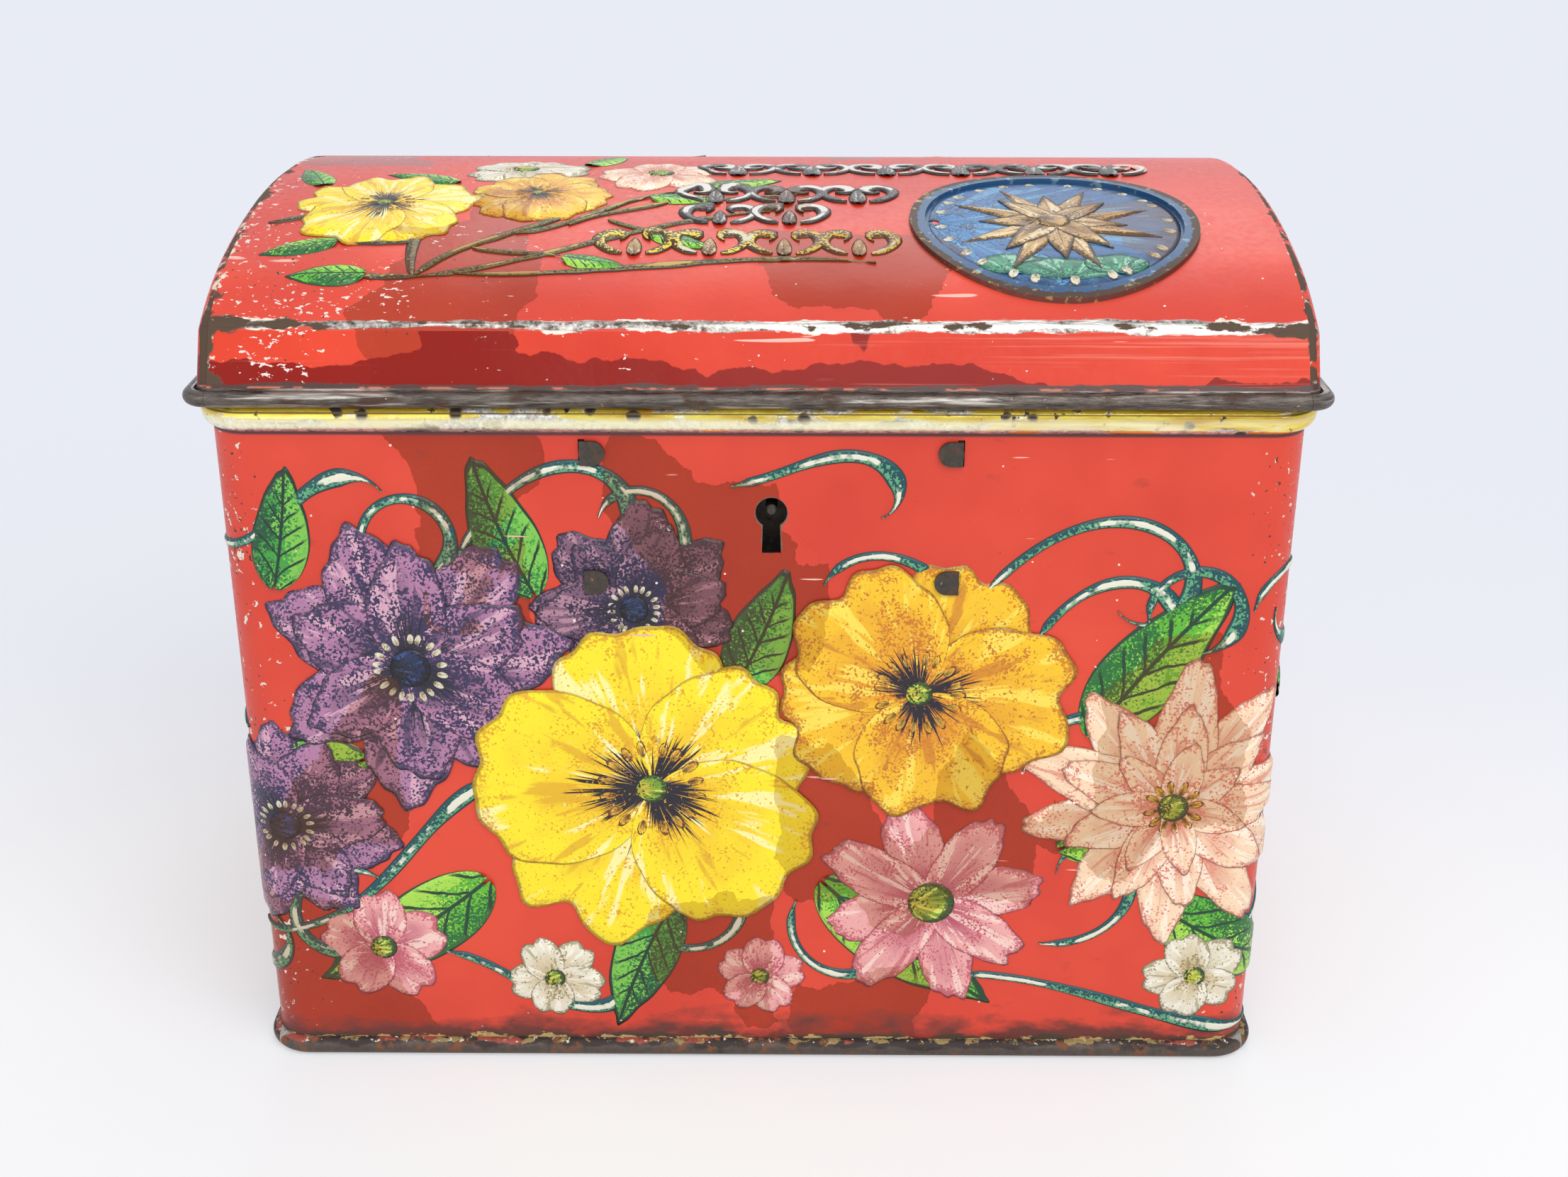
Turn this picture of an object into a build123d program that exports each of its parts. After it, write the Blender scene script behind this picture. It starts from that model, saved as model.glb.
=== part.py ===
"""Tinplate chest with a domed lid on a wire hinge and a small sliding-bolt lock.

All sizes are in millimetres.  X runs to the right, Y to the back and Z up.  The origin is the centre of
the base: the bead round the foot stands on Z = 0.
"""

from build123d import *
from math import cos, radians, sin, sqrt
import os

# ---------------------------------------------------------------- driving dimensions
sheet = 0.4  # tinplate of the walls, the bottom and the lid
running_fit = 0.08  # radial clearance of a hinge loop round the rim wire
lap_gap = 0.05  # between sheets that lie on each other
slide_gap = 0.3  # between the moving and the fixed pieces of the lock

# body
body_width = 164.0  # over the side walls
body_depth = 114.0  # over the front and back walls
body_corner_radius = 6.0
foot_bead_radius = 1.5  # the seam bead round the foot
foot_panel_lift = 2.2  # the bottom plate's panel above the table
shoulder_height = 112.6  # the middle of the swaged bead under the lid
shoulder_radius = 2.4
shoulder_proud = 1.6  # how far the swaged bead stands out of the wall
neck_inset = 2.4  # the neck's step back from the wall
neck_rise = 8.4  # the neck's top edge above the middle of the swaged bead
hem_height = 4.0  # the edge folded in at the neck's top
hem_gap = 0.1
seam_width = 4.0  # the folded side seam, in the middle of the back
seam_thickness = 0.8

# lid
lid_clearance = 0.4  # the inside of the lid's wall outside the body's wall
wire_radius = 0.75
curl_turn = 295.0  # degrees of the curl round the wire
rim_rest_gap = 0.4  # between the closed lid's curl and the swaged bead
band_leg = 1.2  # the upright foot of the front band above the wire's middle
band_rise = 8.7  # the height of the leaning part of the front band
band_lean = 4.6  # how far the front band leans back over that height
dome_rise = 11.4  # the dome's crest above the bend line
crown_radius = 152.0  # of the dome's middle stretch
crown_span = 74.0  # how far that stretch reaches from front to back
bend_radius = 1.5  # at the bend between band and dome
end_edge_radius = 2.0  # the rounded edge of the end panels
end_flange = 5.0  # the end panels' flange under the shell

# round pressed frame on the dome
medal_radius = 22.6
medal_x = 46.0
medal_y = -26.5
medal_ring_width = 2.4
medal_ring_rise = 0.7

# hinge
hinge_spread = 92.0  # between the middles of the two hinge loops
hinge_width = 13.0
hinge_notch_gap = 0.4
hinge_leaf_height = 3.6

# lock
lock_offset = 2.0  # the lock stands right of the box's middle
lock_width = 57.0
lock_height = 25.0
lock_depth = 6.6
lock_plate = 0.6  # sheet steel of the lock's case
lock_corner_radius = 1.6
lock_drop = 1.0  # the top of the lock's case below the swaged bead's lower edge
tab_width = 3.8
tab_length = 3.7
tab_spacing = 20.7  # between the upper and the lower tabs
slot_play = 0.2
keyhole_radius = 2.4
keyhole_height = 8.95
keyhole_waist = 2.5
keyhole_foot = 2.9
keyhole_drop = 12.6  # the round part's middle below the swaged bead's lower edge
post_radius = 0.9
post_tip = 0.8  # the post's end behind the wall's outer face
rivet_head = 0.5  # the height of the small heads behind the lock's case
rivet_flare = 0.7  # how much wider than its shank such a head is
bolt_travel = 4.5
bolt_thickness = 1.2
bolt_height = 4.6
bolt_room = 2.2  # for the spring, between the case and the bolt
bolt_left = 22.0  # how far the bolt reaches to the left of the keyhole
bolt_right = 6.2  # and to the right, when it is drawn back
nose_height = 2.6
talon_width = 5.0
talon_depth = 2.4
guide_radius = 0.8
guide_spacing = 10.0
spring_thickness = 0.3
spring_width = 2.0

# hasp
hasp_width = 9.0
hasp_thickness = 1.0
hasp_hook = 2.2  # the metal under the notch
hasp_notch_play = 0.8  # beyond the end of the bolt's nose
hasp_foot_length = 9.0  # where it is soldered to the lid
hasp_slot_front = 1.2  # room in front of the hasp, which swings forwards as the lid opens

# ---------------------------------------------------------------- derived places
half_width = body_width / 2
half_depth = body_depth / 2
curl_radius = wire_radius + lap_gap + sheet
curl_offset = lid_clearance + curl_radius  # the wire's middle outside the body's wall
shoulder_centre = shoulder_proud - shoulder_radius  # measured outwards from the wall
shoulder_low = shoulder_height - sqrt(shoulder_radius**2 - shoulder_centre**2)
shoulder_top = shoulder_height + shoulder_radius
neck_top = shoulder_height + neck_rise
curl_reach = shoulder_radius + curl_radius + rim_rest_gap
curl_height = shoulder_height + sqrt(curl_reach**2 - (curl_offset - shoulder_centre) ** 2)
lid_offset = lid_clearance + sheet  # the lid's outer face outside the body's wall
lid_half_width = half_width + lid_offset
lid_half_depth = half_depth + lid_offset
hinge_y = half_depth + curl_offset
leg_top = curl_height + band_leg
bend_height = leg_top + band_rise
bend_y = lid_half_depth - band_lean
crest_height = bend_height + dome_rise
crown_y = crown_span / 2
crown_edge = crest_height - crown_radius + sqrt(crown_radius**2 - crown_y**2)
shell_half_length = lid_half_width - end_edge_radius
curl_corner_radius = end_edge_radius + curl_offset - lid_offset

lock_front = -half_depth + sheet + lap_gap
lock_back = lock_front + lock_depth
lock_top = shoulder_low - lock_drop
lock_middle = lock_top - lock_height / 2
key_z = shoulder_low - keyhole_drop
bolt_back = lock_back - lock_plate - slide_gap
bolt_front = bolt_back - bolt_thickness
bolt_top = lock_top - lock_plate - bolt_room
bolt_bottom = bolt_top - bolt_height
bolt_middle = (bolt_top + bolt_bottom) / 2
nose_bottom = bolt_top - nose_height
nose_tip = lock_offset + bolt_right
guide_middle = lock_offset - bolt_left / 2 - bolt_travel / 2
guide_head_front = bolt_front - slide_gap - rivet_head


def wall_plane(half_y, x=0.0):
    """A plane across the front wall: its x runs outwards and its y runs up."""
    return Plane(origin=(x, -half_y, 0), x_dir=(0, -1, 0), z_dir=(-1, 0, 0))


def ring_path(half_x, half_y, radius):
    """A rounded rectangle round the box, from the middle of the front and back to it."""
    with BuildLine() as path:
        Line((0, -half_y), (half_x - radius, -half_y))
        RadiusArc((half_x - radius, -half_y), (half_x, radius - half_y), -radius)
        Line((half_x, radius - half_y), (half_x, half_y - radius))
        RadiusArc((half_x, half_y - radius), (half_x - radius, half_y), -radius)
        Line((half_x - radius, half_y), (radius - half_x, half_y))
        RadiusArc((radius - half_x, half_y), (-half_x, half_y - radius), -radius)
        Line((-half_x, half_y - radius), (-half_x, radius - half_y))
        RadiusArc((-half_x, radius - half_y), (radius - half_x, -half_y), -radius)
        Line((radius - half_x, -half_y), (0, -half_y))
    return path.wires()[0]


def finish(piece, name):
    """Label a piece and write it."""
    piece.part.label = name
    export_step(piece.part, f"parts/{name}.step")
    print(name, len(piece.part.solids()), round(piece.part.volume, 2), piece.part.is_valid)


os.makedirs("parts", exist_ok=True)

# ---------------------------------------------------------------- body wall
body_path = ring_path(half_width, half_depth, body_corner_radius)
flange_reach = foot_bead_radius - sheet - lap_gap
flange_top = foot_bead_radius + sheet / 2
hem_radius = sheet + hem_gap / 2
hem_face = -neck_inset - 2 * hem_radius
seam_low = foot_panel_lift + sheet + lap_gap

with BuildPart() as body_wall:
    with BuildSketch(wall_plane(half_depth)):
        with BuildLine():
            Line((flange_reach, flange_top), (0, flange_top))
            Line((0, flange_top), (0, shoulder_low))
            ThreePointArc(
                (0, shoulder_low), (shoulder_proud, shoulder_height), (shoulder_centre, shoulder_top)
            )
            Line((shoulder_centre, shoulder_top), (-neck_inset, shoulder_top))
            Line((-neck_inset, shoulder_top), (-neck_inset, neck_top - hem_radius))
            ThreePointArc(
                (-neck_inset, neck_top - hem_radius),
                (-neck_inset - hem_radius, neck_top),
                (hem_face, neck_top - hem_radius),
            )
            Line((hem_face, neck_top - hem_radius), (hem_face, neck_top - hem_height))
            offset(amount=sheet, side=Side.LEFT)
        make_face()
    sweep(path=body_path)
    # the folded side seam lies inside the back wall
    with BuildSketch(Plane.XY.offset(seam_low)):
        with Locations((0, half_depth - (sheet + seam_thickness) / 2)):
            Rectangle(seam_width, sheet + seam_thickness)
    extrude(amount=shoulder_low - seam_low)
    # slots for the four tabs of the lock, and the keyhole
    with BuildSketch(Plane.XZ.offset(half_depth + sheet)):
        with Locations((lock_offset, lock_middle)):
            with GridLocations(lock_width - lock_plate, tab_spacing, 2, 2):
                Rectangle(lock_plate + 2 * slot_play, tab_width + 2 * slot_play)
        with Locations((lock_offset, key_z)):
            Circle(keyhole_radius)
        with BuildLine():
            Polyline(
                (lock_offset - keyhole_waist / 2, key_z),
                (lock_offset - keyhole_foot / 2, key_z + keyhole_radius - keyhole_height),
                (lock_offset + keyhole_foot / 2, key_z + keyhole_radius - keyhole_height),
                (lock_offset + keyhole_waist / 2, key_z),
                close=True,
            )
        make_face()
    extrude(amount=-3 * sheet, mode=Mode.SUBTRACT)
finish(body_wall, "body_wall")

# ---------------------------------------------------------------- bottom plate
well_face = -2 * sheet - lap_gap  # the plate's upright edge, on the side of the middle

with BuildPart() as bottom_plate:
    with BuildSketch(wall_plane(half_depth)):
        with BuildLine():
            ThreePointArc(
                (lap_gap, 2 * foot_bead_radius),
                (lap_gap + foot_bead_radius, foot_bead_radius),
                (lap_gap, 0),
            )
            Line((lap_gap, 0), (well_face, 0))
            Line((well_face, 0), (well_face, foot_panel_lift + sheet))
            offset(amount=sheet, side=Side.RIGHT)
        make_face()
    sweep(path=body_path)
    with BuildSketch(Plane.XY.offset(foot_panel_lift)):
        RectangleRounded(
            body_width + 2 * well_face + sheet,
            body_depth + 2 * well_face + sheet,
            body_corner_radius + well_face + sheet / 2,
        )
    extrude(amount=sheet)
finish(bottom_plate, "bottom_plate")

# ---------------------------------------------------------------- lid
form_low = curl_height - 2 * curl_radius  # the form reaches below the curl's middle and is cut there
curl_inner = curl_radius - sheet
curl_end = radians(180 + curl_turn)

with BuildSketch(Plane.YZ) as lid_form:
    with BuildLine():
        crown = ThreePointArc((-crown_y, crown_edge), (0, crest_height), (crown_y, crown_edge))
        front_shoulder = TangentArc(crown @ 0, (-bend_y, bend_height), tangent=-(crown % 0))
        back_shoulder = TangentArc(crown @ 1, (bend_y, bend_height), tangent=crown % 1)
        Polyline(
            (-bend_y, bend_height),
            (-lid_half_depth, leg_top),
            (-lid_half_depth, form_low),
            (lid_half_depth, form_low),
            (lid_half_depth, leg_top),
            (bend_y, bend_height),
        )
    make_face()
    bends = lid_form.vertices().filter_by(lambda corner: form_low + sheet < corner.Y < crown_edge - sheet)
    fillet(bends, bend_radius)


def curl_section(plane):
    """The curled rim: a strip rolled outwards from the foot of the lid's wall round the wire."""
    with BuildSketch(plane) as curl:
        with BuildLine():
            CenterArc((curl_offset, curl_height), curl_inner, 180, curl_turn)
            CenterArc((curl_offset, curl_height), curl_radius, 180, curl_turn)
            Line((lid_clearance, curl_height), (lid_offset, curl_height))
            Line(
                (curl_offset + curl_inner * cos(curl_end), curl_height + curl_inner * sin(curl_end)),
                (curl_offset + curl_radius * cos(curl_end), curl_height + curl_radius * sin(curl_end)),
            )
        make_face()
    return curl.sketch


def dome_layer(top, bottom):
    """The layer between two skins, each given by its height over the dome, as deep as the medal."""
    with BuildPart() as layer:
        with BuildSketch(Plane.YZ.offset(medal_x)):
            add(lid_form.sketch_local)
            offset(amount=top, kind=Kind.ARC)
        extrude(amount=medal_radius + sheet, both=True)
        with BuildSketch(Plane.YZ.offset(medal_x)):
            add(lid_form.sketch_local)
            offset(amount=bottom, kind=Kind.ARC)
        extrude(amount=medal_radius + sheet, both=True, mode=Mode.SUBTRACT)
    return layer.part


def medal_ring(outer, inner, layer):
    """The part of a dome layer between two upright circles round the medal's middle."""
    with BuildPart() as ring:
        with BuildSketch(Plane.XY.offset(bend_height)):
            with Locations((medal_x, medal_y)):
                Circle(outer)
                Circle(inner, mode=Mode.SUBTRACT)
        extrude(amount=2 * dome_rise)
        add(layer, mode=Mode.INTERSECT)
    return ring.part


back_plane = Plane(origin=(0, half_depth, 0), x_dir=(0, 1, 0), z_dir=(1, 0, 0))
notch_width = hinge_width + 2 * hinge_notch_gap
notch_top = curl_height + curl_radius + hinge_notch_gap
medal_inner = medal_radius - medal_ring_width
pressed_ring = medal_ring(medal_radius, medal_inner, dome_layer(medal_ring_rise, -sheet))
pressed_hollow = medal_ring(
    medal_radius - sheet, medal_inner + sheet, dome_layer(medal_ring_rise - sheet, -2 * sheet)
)

with BuildPart() as lid_shell:
    with BuildSketch(Plane.YZ):
        add(lid_form.sketch_local)
        offset(amount=-sheet, kind=Kind.INTERSECTION, mode=Mode.SUBTRACT)
    extrude(amount=shell_half_length - lap_gap, both=True)
    split(bisect_by=Plane.XY.offset(curl_height), keep=Keep.TOP)
    extrude(curl_section(wall_plane(half_depth)), amount=shell_half_length - lap_gap, both=True)
    extrude(curl_section(back_plane), amount=shell_half_length - lap_gap, both=True)
    # notches in the back rim, where the hinge loops go round the bare wire
    with Locations((0, hinge_y, (curl_height - 2 * curl_radius + notch_top) / 2)):
        with GridLocations(hinge_spread, 1, 2, 1):
            Box(notch_width, 4 * curl_radius, notch_top - curl_height + 2 * curl_radius, mode=Mode.SUBTRACT)
    add(pressed_ring)
    add(pressed_hollow, mode=Mode.SUBTRACT)
finish(lid_shell, "lid_shell")

end_inset = sheet + lap_gap
with BuildPart() as lid_end_right:
    with BuildSketch(Plane.YZ.offset(shell_half_length - end_flange)):
        add(lid_form.sketch_local)
        offset(amount=-end_inset, kind=Kind.INTERSECTION)
    extrude(amount=end_flange + end_edge_radius)
    outer_rim = lid_end_right.faces().sort_by(Axis.X)[-1].edges()
    fillet(outer_rim.filter_by(lambda edge: edge.center().Z > form_low + 2 * end_inset), end_edge_radius)
    inner_side = lid_end_right.faces().sort_by(Axis.X)[0]
    under_side = lid_end_right.faces().sort_by(Axis.Z)[0]
    offset(amount=-sheet, openings=[inner_side, under_side])
    split(bisect_by=Plane.XY.offset(curl_height), keep=Keep.TOP)
    # the curled rim goes round both corners
    with BuildLine() as end_rim:
        rim_x = half_width + curl_offset
        corner_x = rim_x - curl_corner_radius
        corner_y = hinge_y - curl_corner_radius
        RadiusArc((corner_x, -hinge_y), (rim_x, -corner_y), -curl_corner_radius)
        Line((rim_x, -corner_y), (rim_x, corner_y))
        RadiusArc((rim_x, corner_y), (corner_x, hinge_y), -curl_corner_radius)
    sweep(curl_section(wall_plane(half_depth, corner_x)), path=end_rim.wires()[0])
finish(lid_end_right, "lid_end_right")

with BuildPart() as lid_end_left:
    mirror(lid_end_right.part, about=Plane.YZ)
finish(lid_end_left, "lid_end_left")

rim_path = ring_path(half_width + curl_offset, half_depth + curl_offset, curl_corner_radius)
with BuildPart() as lid_rim_wire:
    with BuildSketch(wall_plane(half_depth)):
        with Locations((curl_offset, curl_height)):
            Circle(wire_radius)
    sweep(path=rim_path)
finish(lid_rim_wire, "lid_rim_wire")

# ---------------------------------------------------------------- hinge loops
loop_inner = wire_radius + running_fit
loop_outer = loop_inner + sheet
leaf_low = shoulder_top + lap_gap
leaf_face = half_depth - neck_inset + lap_gap


def hinge_loop(x):
    """A strap looped round the rim wire, whose leaf lies on the back of the neck."""
    with BuildPart() as loop:
        with BuildSketch(Plane.YZ.offset(x)):
            with Locations((hinge_y, curl_height)):
                Circle(loop_outer)
            with Locations((leaf_face, leaf_low)):
                Rectangle(hinge_y - leaf_face, sheet, align=(Align.MIN, Align.MIN))
                Rectangle(sheet, hinge_leaf_height, align=(Align.MIN, Align.MIN))
            with Locations((hinge_y, curl_height)):
                Circle(loop_inner, mode=Mode.SUBTRACT)
        extrude(amount=hinge_width / 2, both=True)
    return loop


finish(hinge_loop(-hinge_spread / 2), "hinge_loop_left")
finish(hinge_loop(hinge_spread / 2), "hinge_loop_right")

# ---------------------------------------------------------------- lock
hasp_left = nose_tip + slide_gap
hasp_middle = hasp_left + hasp_width / 2
hasp_front = (bolt_front + bolt_back - hasp_thickness) / 2
hasp_back = hasp_front + hasp_thickness
notch_floor = nose_bottom - slide_gap
hasp_tip = notch_floor - hasp_hook
tab_front = -half_depth - lap_gap

with BuildPart() as lock_case:
    with BuildSketch(Plane.XZ.offset(-lock_back)):
        with Locations((lock_offset, lock_middle)):
            Rectangle(lock_width, lock_height)
    extrude(amount=lock_depth)
    fillet(lock_case.faces().sort_by(Axis.Y)[-1].edges(), lock_corner_radius)
    offset(amount=-lock_plate, openings=lock_case.faces().sort_by(Axis.Y)[0])
    # four tabs reach through the wall and are bent over towards each other
    for side in (-1, 1):
        for level in (-1, 1):
            tab_root = lock_offset + side * lock_width / 2
            tab_z = lock_middle + level * tab_spacing / 2
            tab_end = tab_root - side * (tab_length - tab_width / 2)
            with BuildSketch(Plane.XZ.offset(-tab_front)):
                with Locations(((tab_root + tab_end) / 2, tab_z)):
                    Rectangle(tab_length - tab_width / 2, tab_width)
                with Locations((tab_end, tab_z)):
                    Circle(tab_width / 2)
            extrude(amount=lock_plate)
            with BuildSketch(Plane.XZ.offset(-tab_front)):
                with Locations((tab_root - side * lock_plate / 2, tab_z)):
                    Rectangle(lock_plate, tab_width)
            extrude(amount=tab_front - lock_front - sheet)
    # the slot in its top for the hasp, and the holes for the post and the studs
    with BuildSketch(Plane.XY.offset(lock_top + sheet)):
        with Locations((hasp_middle, hasp_back + slide_gap)):
            Rectangle(
                hasp_width + 2 * slide_gap,
                hasp_thickness + hasp_slot_front + slide_gap,
                align=(Align.CENTER, Align.MAX),
            )
    extrude(amount=-lock_plate - 2 * sheet, mode=Mode.SUBTRACT)
    with BuildSketch(Plane.XZ.offset(-lock_back - sheet)):
        with Locations((lock_offset, key_z)):
            Circle(post_radius + lap_gap)
        with Locations((guide_middle, bolt_middle)):
            with GridLocations(guide_spacing, 1, 2, 1):
                Circle(guide_radius + lap_gap)
    extrude(amount=lock_plate + 2 * sheet, mode=Mode.SUBTRACT)
finish(lock_case, "lock_case")

shank_end = lock_back + lap_gap + rivet_head
with BuildPart() as key_post:
    with BuildSketch(Plane.XZ.offset(half_depth - post_tip)):
        with Locations((lock_offset, key_z)):
            Circle(post_radius)
    extrude(amount=-(shank_end + half_depth - post_tip))
    chamfer(key_post.faces().sort_by(Axis.Y)[0].edges(), post_radius / 3)
    with BuildSketch(Plane.XZ.offset(-shank_end)):
        with Locations((lock_offset, key_z)):
            Circle(post_radius + rivet_flare)
    extrude(amount=rivet_head)
finish(key_post, "key_post")

# (radius, front plane, length towards the back) of the stud's head, shank and rivet
guide_steps = (
    (guide_radius + rivet_flare, guide_head_front, rivet_head),
    (guide_radius, guide_head_front, shank_end - guide_head_front),
    (guide_radius + rivet_flare, shank_end - rivet_head, rivet_head),
)
with BuildPart() as bolt_guides:
    for radius, front, length in guide_steps:
        with BuildSketch(Plane.XZ.offset(-front)):
            with Locations((guide_middle, bolt_middle)):
                with GridLocations(guide_spacing, 1, 2, 1):
                    Circle(radius)
        extrude(amount=-length)
finish(bolt_guides, "bolt_guides")

# the bolt is drawn at rest, drawn back; it moves to the right by its travel
talon_middle = lock_offset - bolt_travel / 2
bar_right = nose_tip - bolt_travel
guide_slot = bolt_travel + 2 * (guide_radius + slide_gap)
with BuildPart() as lock_bolt:
    with BuildSketch(Plane.XZ.offset(-bolt_front)):
        with BuildLine():
            Polyline(
                (lock_offset - bolt_left, bolt_bottom),
                (lock_offset - bolt_left, bolt_top),
                (nose_tip, bolt_top),
                (nose_tip, nose_bottom),
                (bar_right, nose_bottom),
                (bar_right, bolt_bottom),
                close=True,
            )
        make_face()
        with Locations((talon_middle, bolt_bottom)):
            Rectangle(talon_width, talon_depth, align=(Align.CENTER, Align.MIN), mode=Mode.SUBTRACT)
        with Locations((guide_middle - bolt_travel / 2, bolt_middle)):
            with GridLocations(guide_spacing, 1, 2, 1):
                SlotOverall(guide_slot, 2 * (guide_radius + slide_gap), mode=Mode.SUBTRACT)
    extrude(amount=-bolt_thickness)
finish(lock_bolt, "lock_bolt")

# a bowed leaf spring between the case's top and the bolt
spring_top = lock_top - lock_plate - lap_gap
spring_low = bolt_top + slide_gap
spring_left = lock_offset - bolt_left + slide_gap
spring_right = hasp_left - 3 * slide_gap
spring_back = lock_back - lock_corner_radius
with BuildPart() as bolt_spring:
    with BuildSketch(Plane.XZ.offset(-spring_back)):
        with BuildLine():
            ThreePointArc(
                (spring_left, spring_top - spring_thickness),
                ((spring_left + spring_right) / 2, spring_low),
                (spring_right, spring_top - spring_thickness),
            )
            offset(amount=spring_thickness, side=Side.LEFT)
        make_face()
    extrude(amount=spring_width)
finish(bolt_spring, "bolt_spring")

# ---------------------------------------------------------------- hasp
with BuildPart() as hasp_tongue:
    with BuildSketch(Plane.YZ.offset(hasp_middle)):
        # the foot follows the inside of the dome
        add(lid_form.sketch_local)
        offset(amount=-end_inset, kind=Kind.INTERSECTION)
        offset(amount=-hasp_thickness, kind=Kind.INTERSECTION, mode=Mode.SUBTRACT)
        with Locations((hasp_front, leg_top)):
            Rectangle(
                hasp_foot_length, 2 * dome_rise + band_rise, align=(Align.MIN, Align.MIN), mode=Mode.INTERSECT
            )
        with Locations((hasp_front, hasp_tip)):
            Rectangle(hasp_thickness, bend_height - hasp_tip, align=(Align.MIN, Align.MIN))
    extrude(amount=hasp_width / 2, both=True)
    with BuildSketch(Plane.XZ.offset(-hasp_front)):
        with Locations((hasp_left, notch_floor)):
            Rectangle(
                bolt_travel - slide_gap + hasp_notch_play,
                nose_height + 2 * slide_gap,
                align=(Align.MIN, Align.MIN),
            )
    extrude(amount=-hasp_thickness, mode=Mode.SUBTRACT)
finish(hasp_tongue, "hasp_tongue")
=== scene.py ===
# %% [markdown]
# # Old lithographed tin chest
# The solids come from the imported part: the sheet walls, the domed lid with its wired rim, the hinge loops and
# the lock. This lesson gives them their finishes and lays the printed, embossed decoration on them.
# Everything is in metres, in the part's own frame: X to the right, Y to the back, Z up.

import bpy
import math
import numpy as np
from mathutils import Matrix, Vector


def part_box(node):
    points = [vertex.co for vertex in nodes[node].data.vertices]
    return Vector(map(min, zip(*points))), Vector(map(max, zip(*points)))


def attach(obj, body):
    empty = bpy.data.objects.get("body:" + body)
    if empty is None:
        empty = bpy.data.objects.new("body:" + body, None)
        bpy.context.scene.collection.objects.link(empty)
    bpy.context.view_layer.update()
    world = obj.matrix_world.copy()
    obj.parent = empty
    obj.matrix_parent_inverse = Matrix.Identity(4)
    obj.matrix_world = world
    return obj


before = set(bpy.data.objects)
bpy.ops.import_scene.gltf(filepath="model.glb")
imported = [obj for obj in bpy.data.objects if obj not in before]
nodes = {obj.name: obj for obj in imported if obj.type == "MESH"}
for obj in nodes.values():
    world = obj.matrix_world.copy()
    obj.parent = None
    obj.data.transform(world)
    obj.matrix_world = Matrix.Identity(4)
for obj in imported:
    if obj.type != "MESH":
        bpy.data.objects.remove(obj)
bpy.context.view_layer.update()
MM = 0.001
print("nodes", sorted(nodes))

# %% [markdown]
# A colour is written as the hex code that a painter would pick on a screen. Shaders work with linear light, so
# one function turns the code into linear numbers. One more adds a shader node with its inputs and settings,
# which keeps each recipe below short enough to read as a list of coats. `lay_colour` lays one colour over
# another through a mask.

# %% Helpers for every finish
def colour(code):
    """A hex colour as linear red, green, blue and alpha; anything else, such as a socket, as it is."""
    if not isinstance(code, str):
        return code
    parts = [int(code[i : i + 2], 16) / 255 for i in (1, 3, 5)]
    return tuple(c / 12.92 if c <= 0.04045 else ((c + 0.055) / 1.055) ** 2.4 for c in parts) + (1.0,)


def add(tree, kind, *values, out=0, **named):
    """Adds a node and returns one of its outputs. An operation may follow the kind. The values go to the inputs
    in their order, and None leaves one as it is. A name with a capital is an input, any other is a setting."""
    kind, _, operation = kind.partition(" ")
    node = tree.nodes.new("ShaderNode" + kind)
    if operation:
        node.operation = operation
    inputs = dict(enumerate(values))
    for name, value in named.items():
        if name[0].isupper():
            inputs[name] = value
        else:
            setattr(node, name, value)
    for name, value in inputs.items():
        if isinstance(value, bpy.types.NodeSocket):
            tree.links.new(value, node.inputs[name])
        elif value is not None:
            node.inputs[name].default_value = value
    return node.outputs[out] if node.outputs else node


def lay_colour(t, mask, under, over, share=1.0, blend_type="MIX"):
    """One colour over another where the mask is 1, at most by `share`."""
    if share < 1:
        mask = add(t, "Math MULTIPLY", mask, share)
    settings = {"out": 2, "data_type": "RGBA", "blend_type": blend_type}
    return add(t, "Mix", mask, *[None] * 5, colour(under), colour(over), **settings)


def new_finish(name):
    """An empty material and its node tree."""
    material = bpy.data.materials.new(name)
    material.use_nodes = True
    material.node_tree.nodes.clear()
    return material, material.node_tree


# %% [markdown]
# The camera stands in front of the chest at the height of a person who bends over a table. Its place was
# worked out from the lines of the box, and its lens is a normal one.

# %% Camera
EYE = (5.5 * MM, -340.8 * MM, 206.3 * MM)
PITCH, YAW, ROLL = (math.radians(a) for a in (23.08, -0.32, 0.09))
ahead = Vector((math.sin(YAW) * math.cos(PITCH), math.cos(YAW) * math.cos(PITCH), -math.sin(PITCH)))
right = Vector((math.cos(YAW), -math.sin(YAW), 0))
up = right.cross(ahead)
right, up = right * math.cos(ROLL) + up * math.sin(ROLL), up * math.cos(ROLL) - right * math.sin(ROLL)
camera = bpy.data.objects.new("camera", bpy.data.cameras.new("camera"))
camera.data.sensor_width = 36
camera.data.lens = 46.38
camera.data.clip_start = 0.01
turned = Matrix((right, up, -ahead)).transposed().to_4x4()
camera.matrix_world = Matrix.Translation(EYE) @ turned
bpy.context.scene.collection.objects.link(camera)
bpy.context.scene.camera = camera
print("camera at", [round(c, 4) for c in camera.matrix_world.translation])

# %% [markdown]
# The light is a white tent: a pale world all round, one large soft panel over the right shoulder and weaker
# ones on the left and behind. The floor is a white sheet that rises behind the chest in one curve, so that no
# horizon shows. The level is plain, so that a colour shows about as it is written. `looked_at` tells the rays
# that come from the eye, also by reflection or through glass: only they see the tent and the sheet as bright
# as a lit backdrop in a studio, and near the chest the sheet keeps most of its shadow.

# %% Light and floor
world = bpy.data.worlds.new("white_tent")
world.use_nodes = True
bpy.context.scene.world = world


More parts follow.
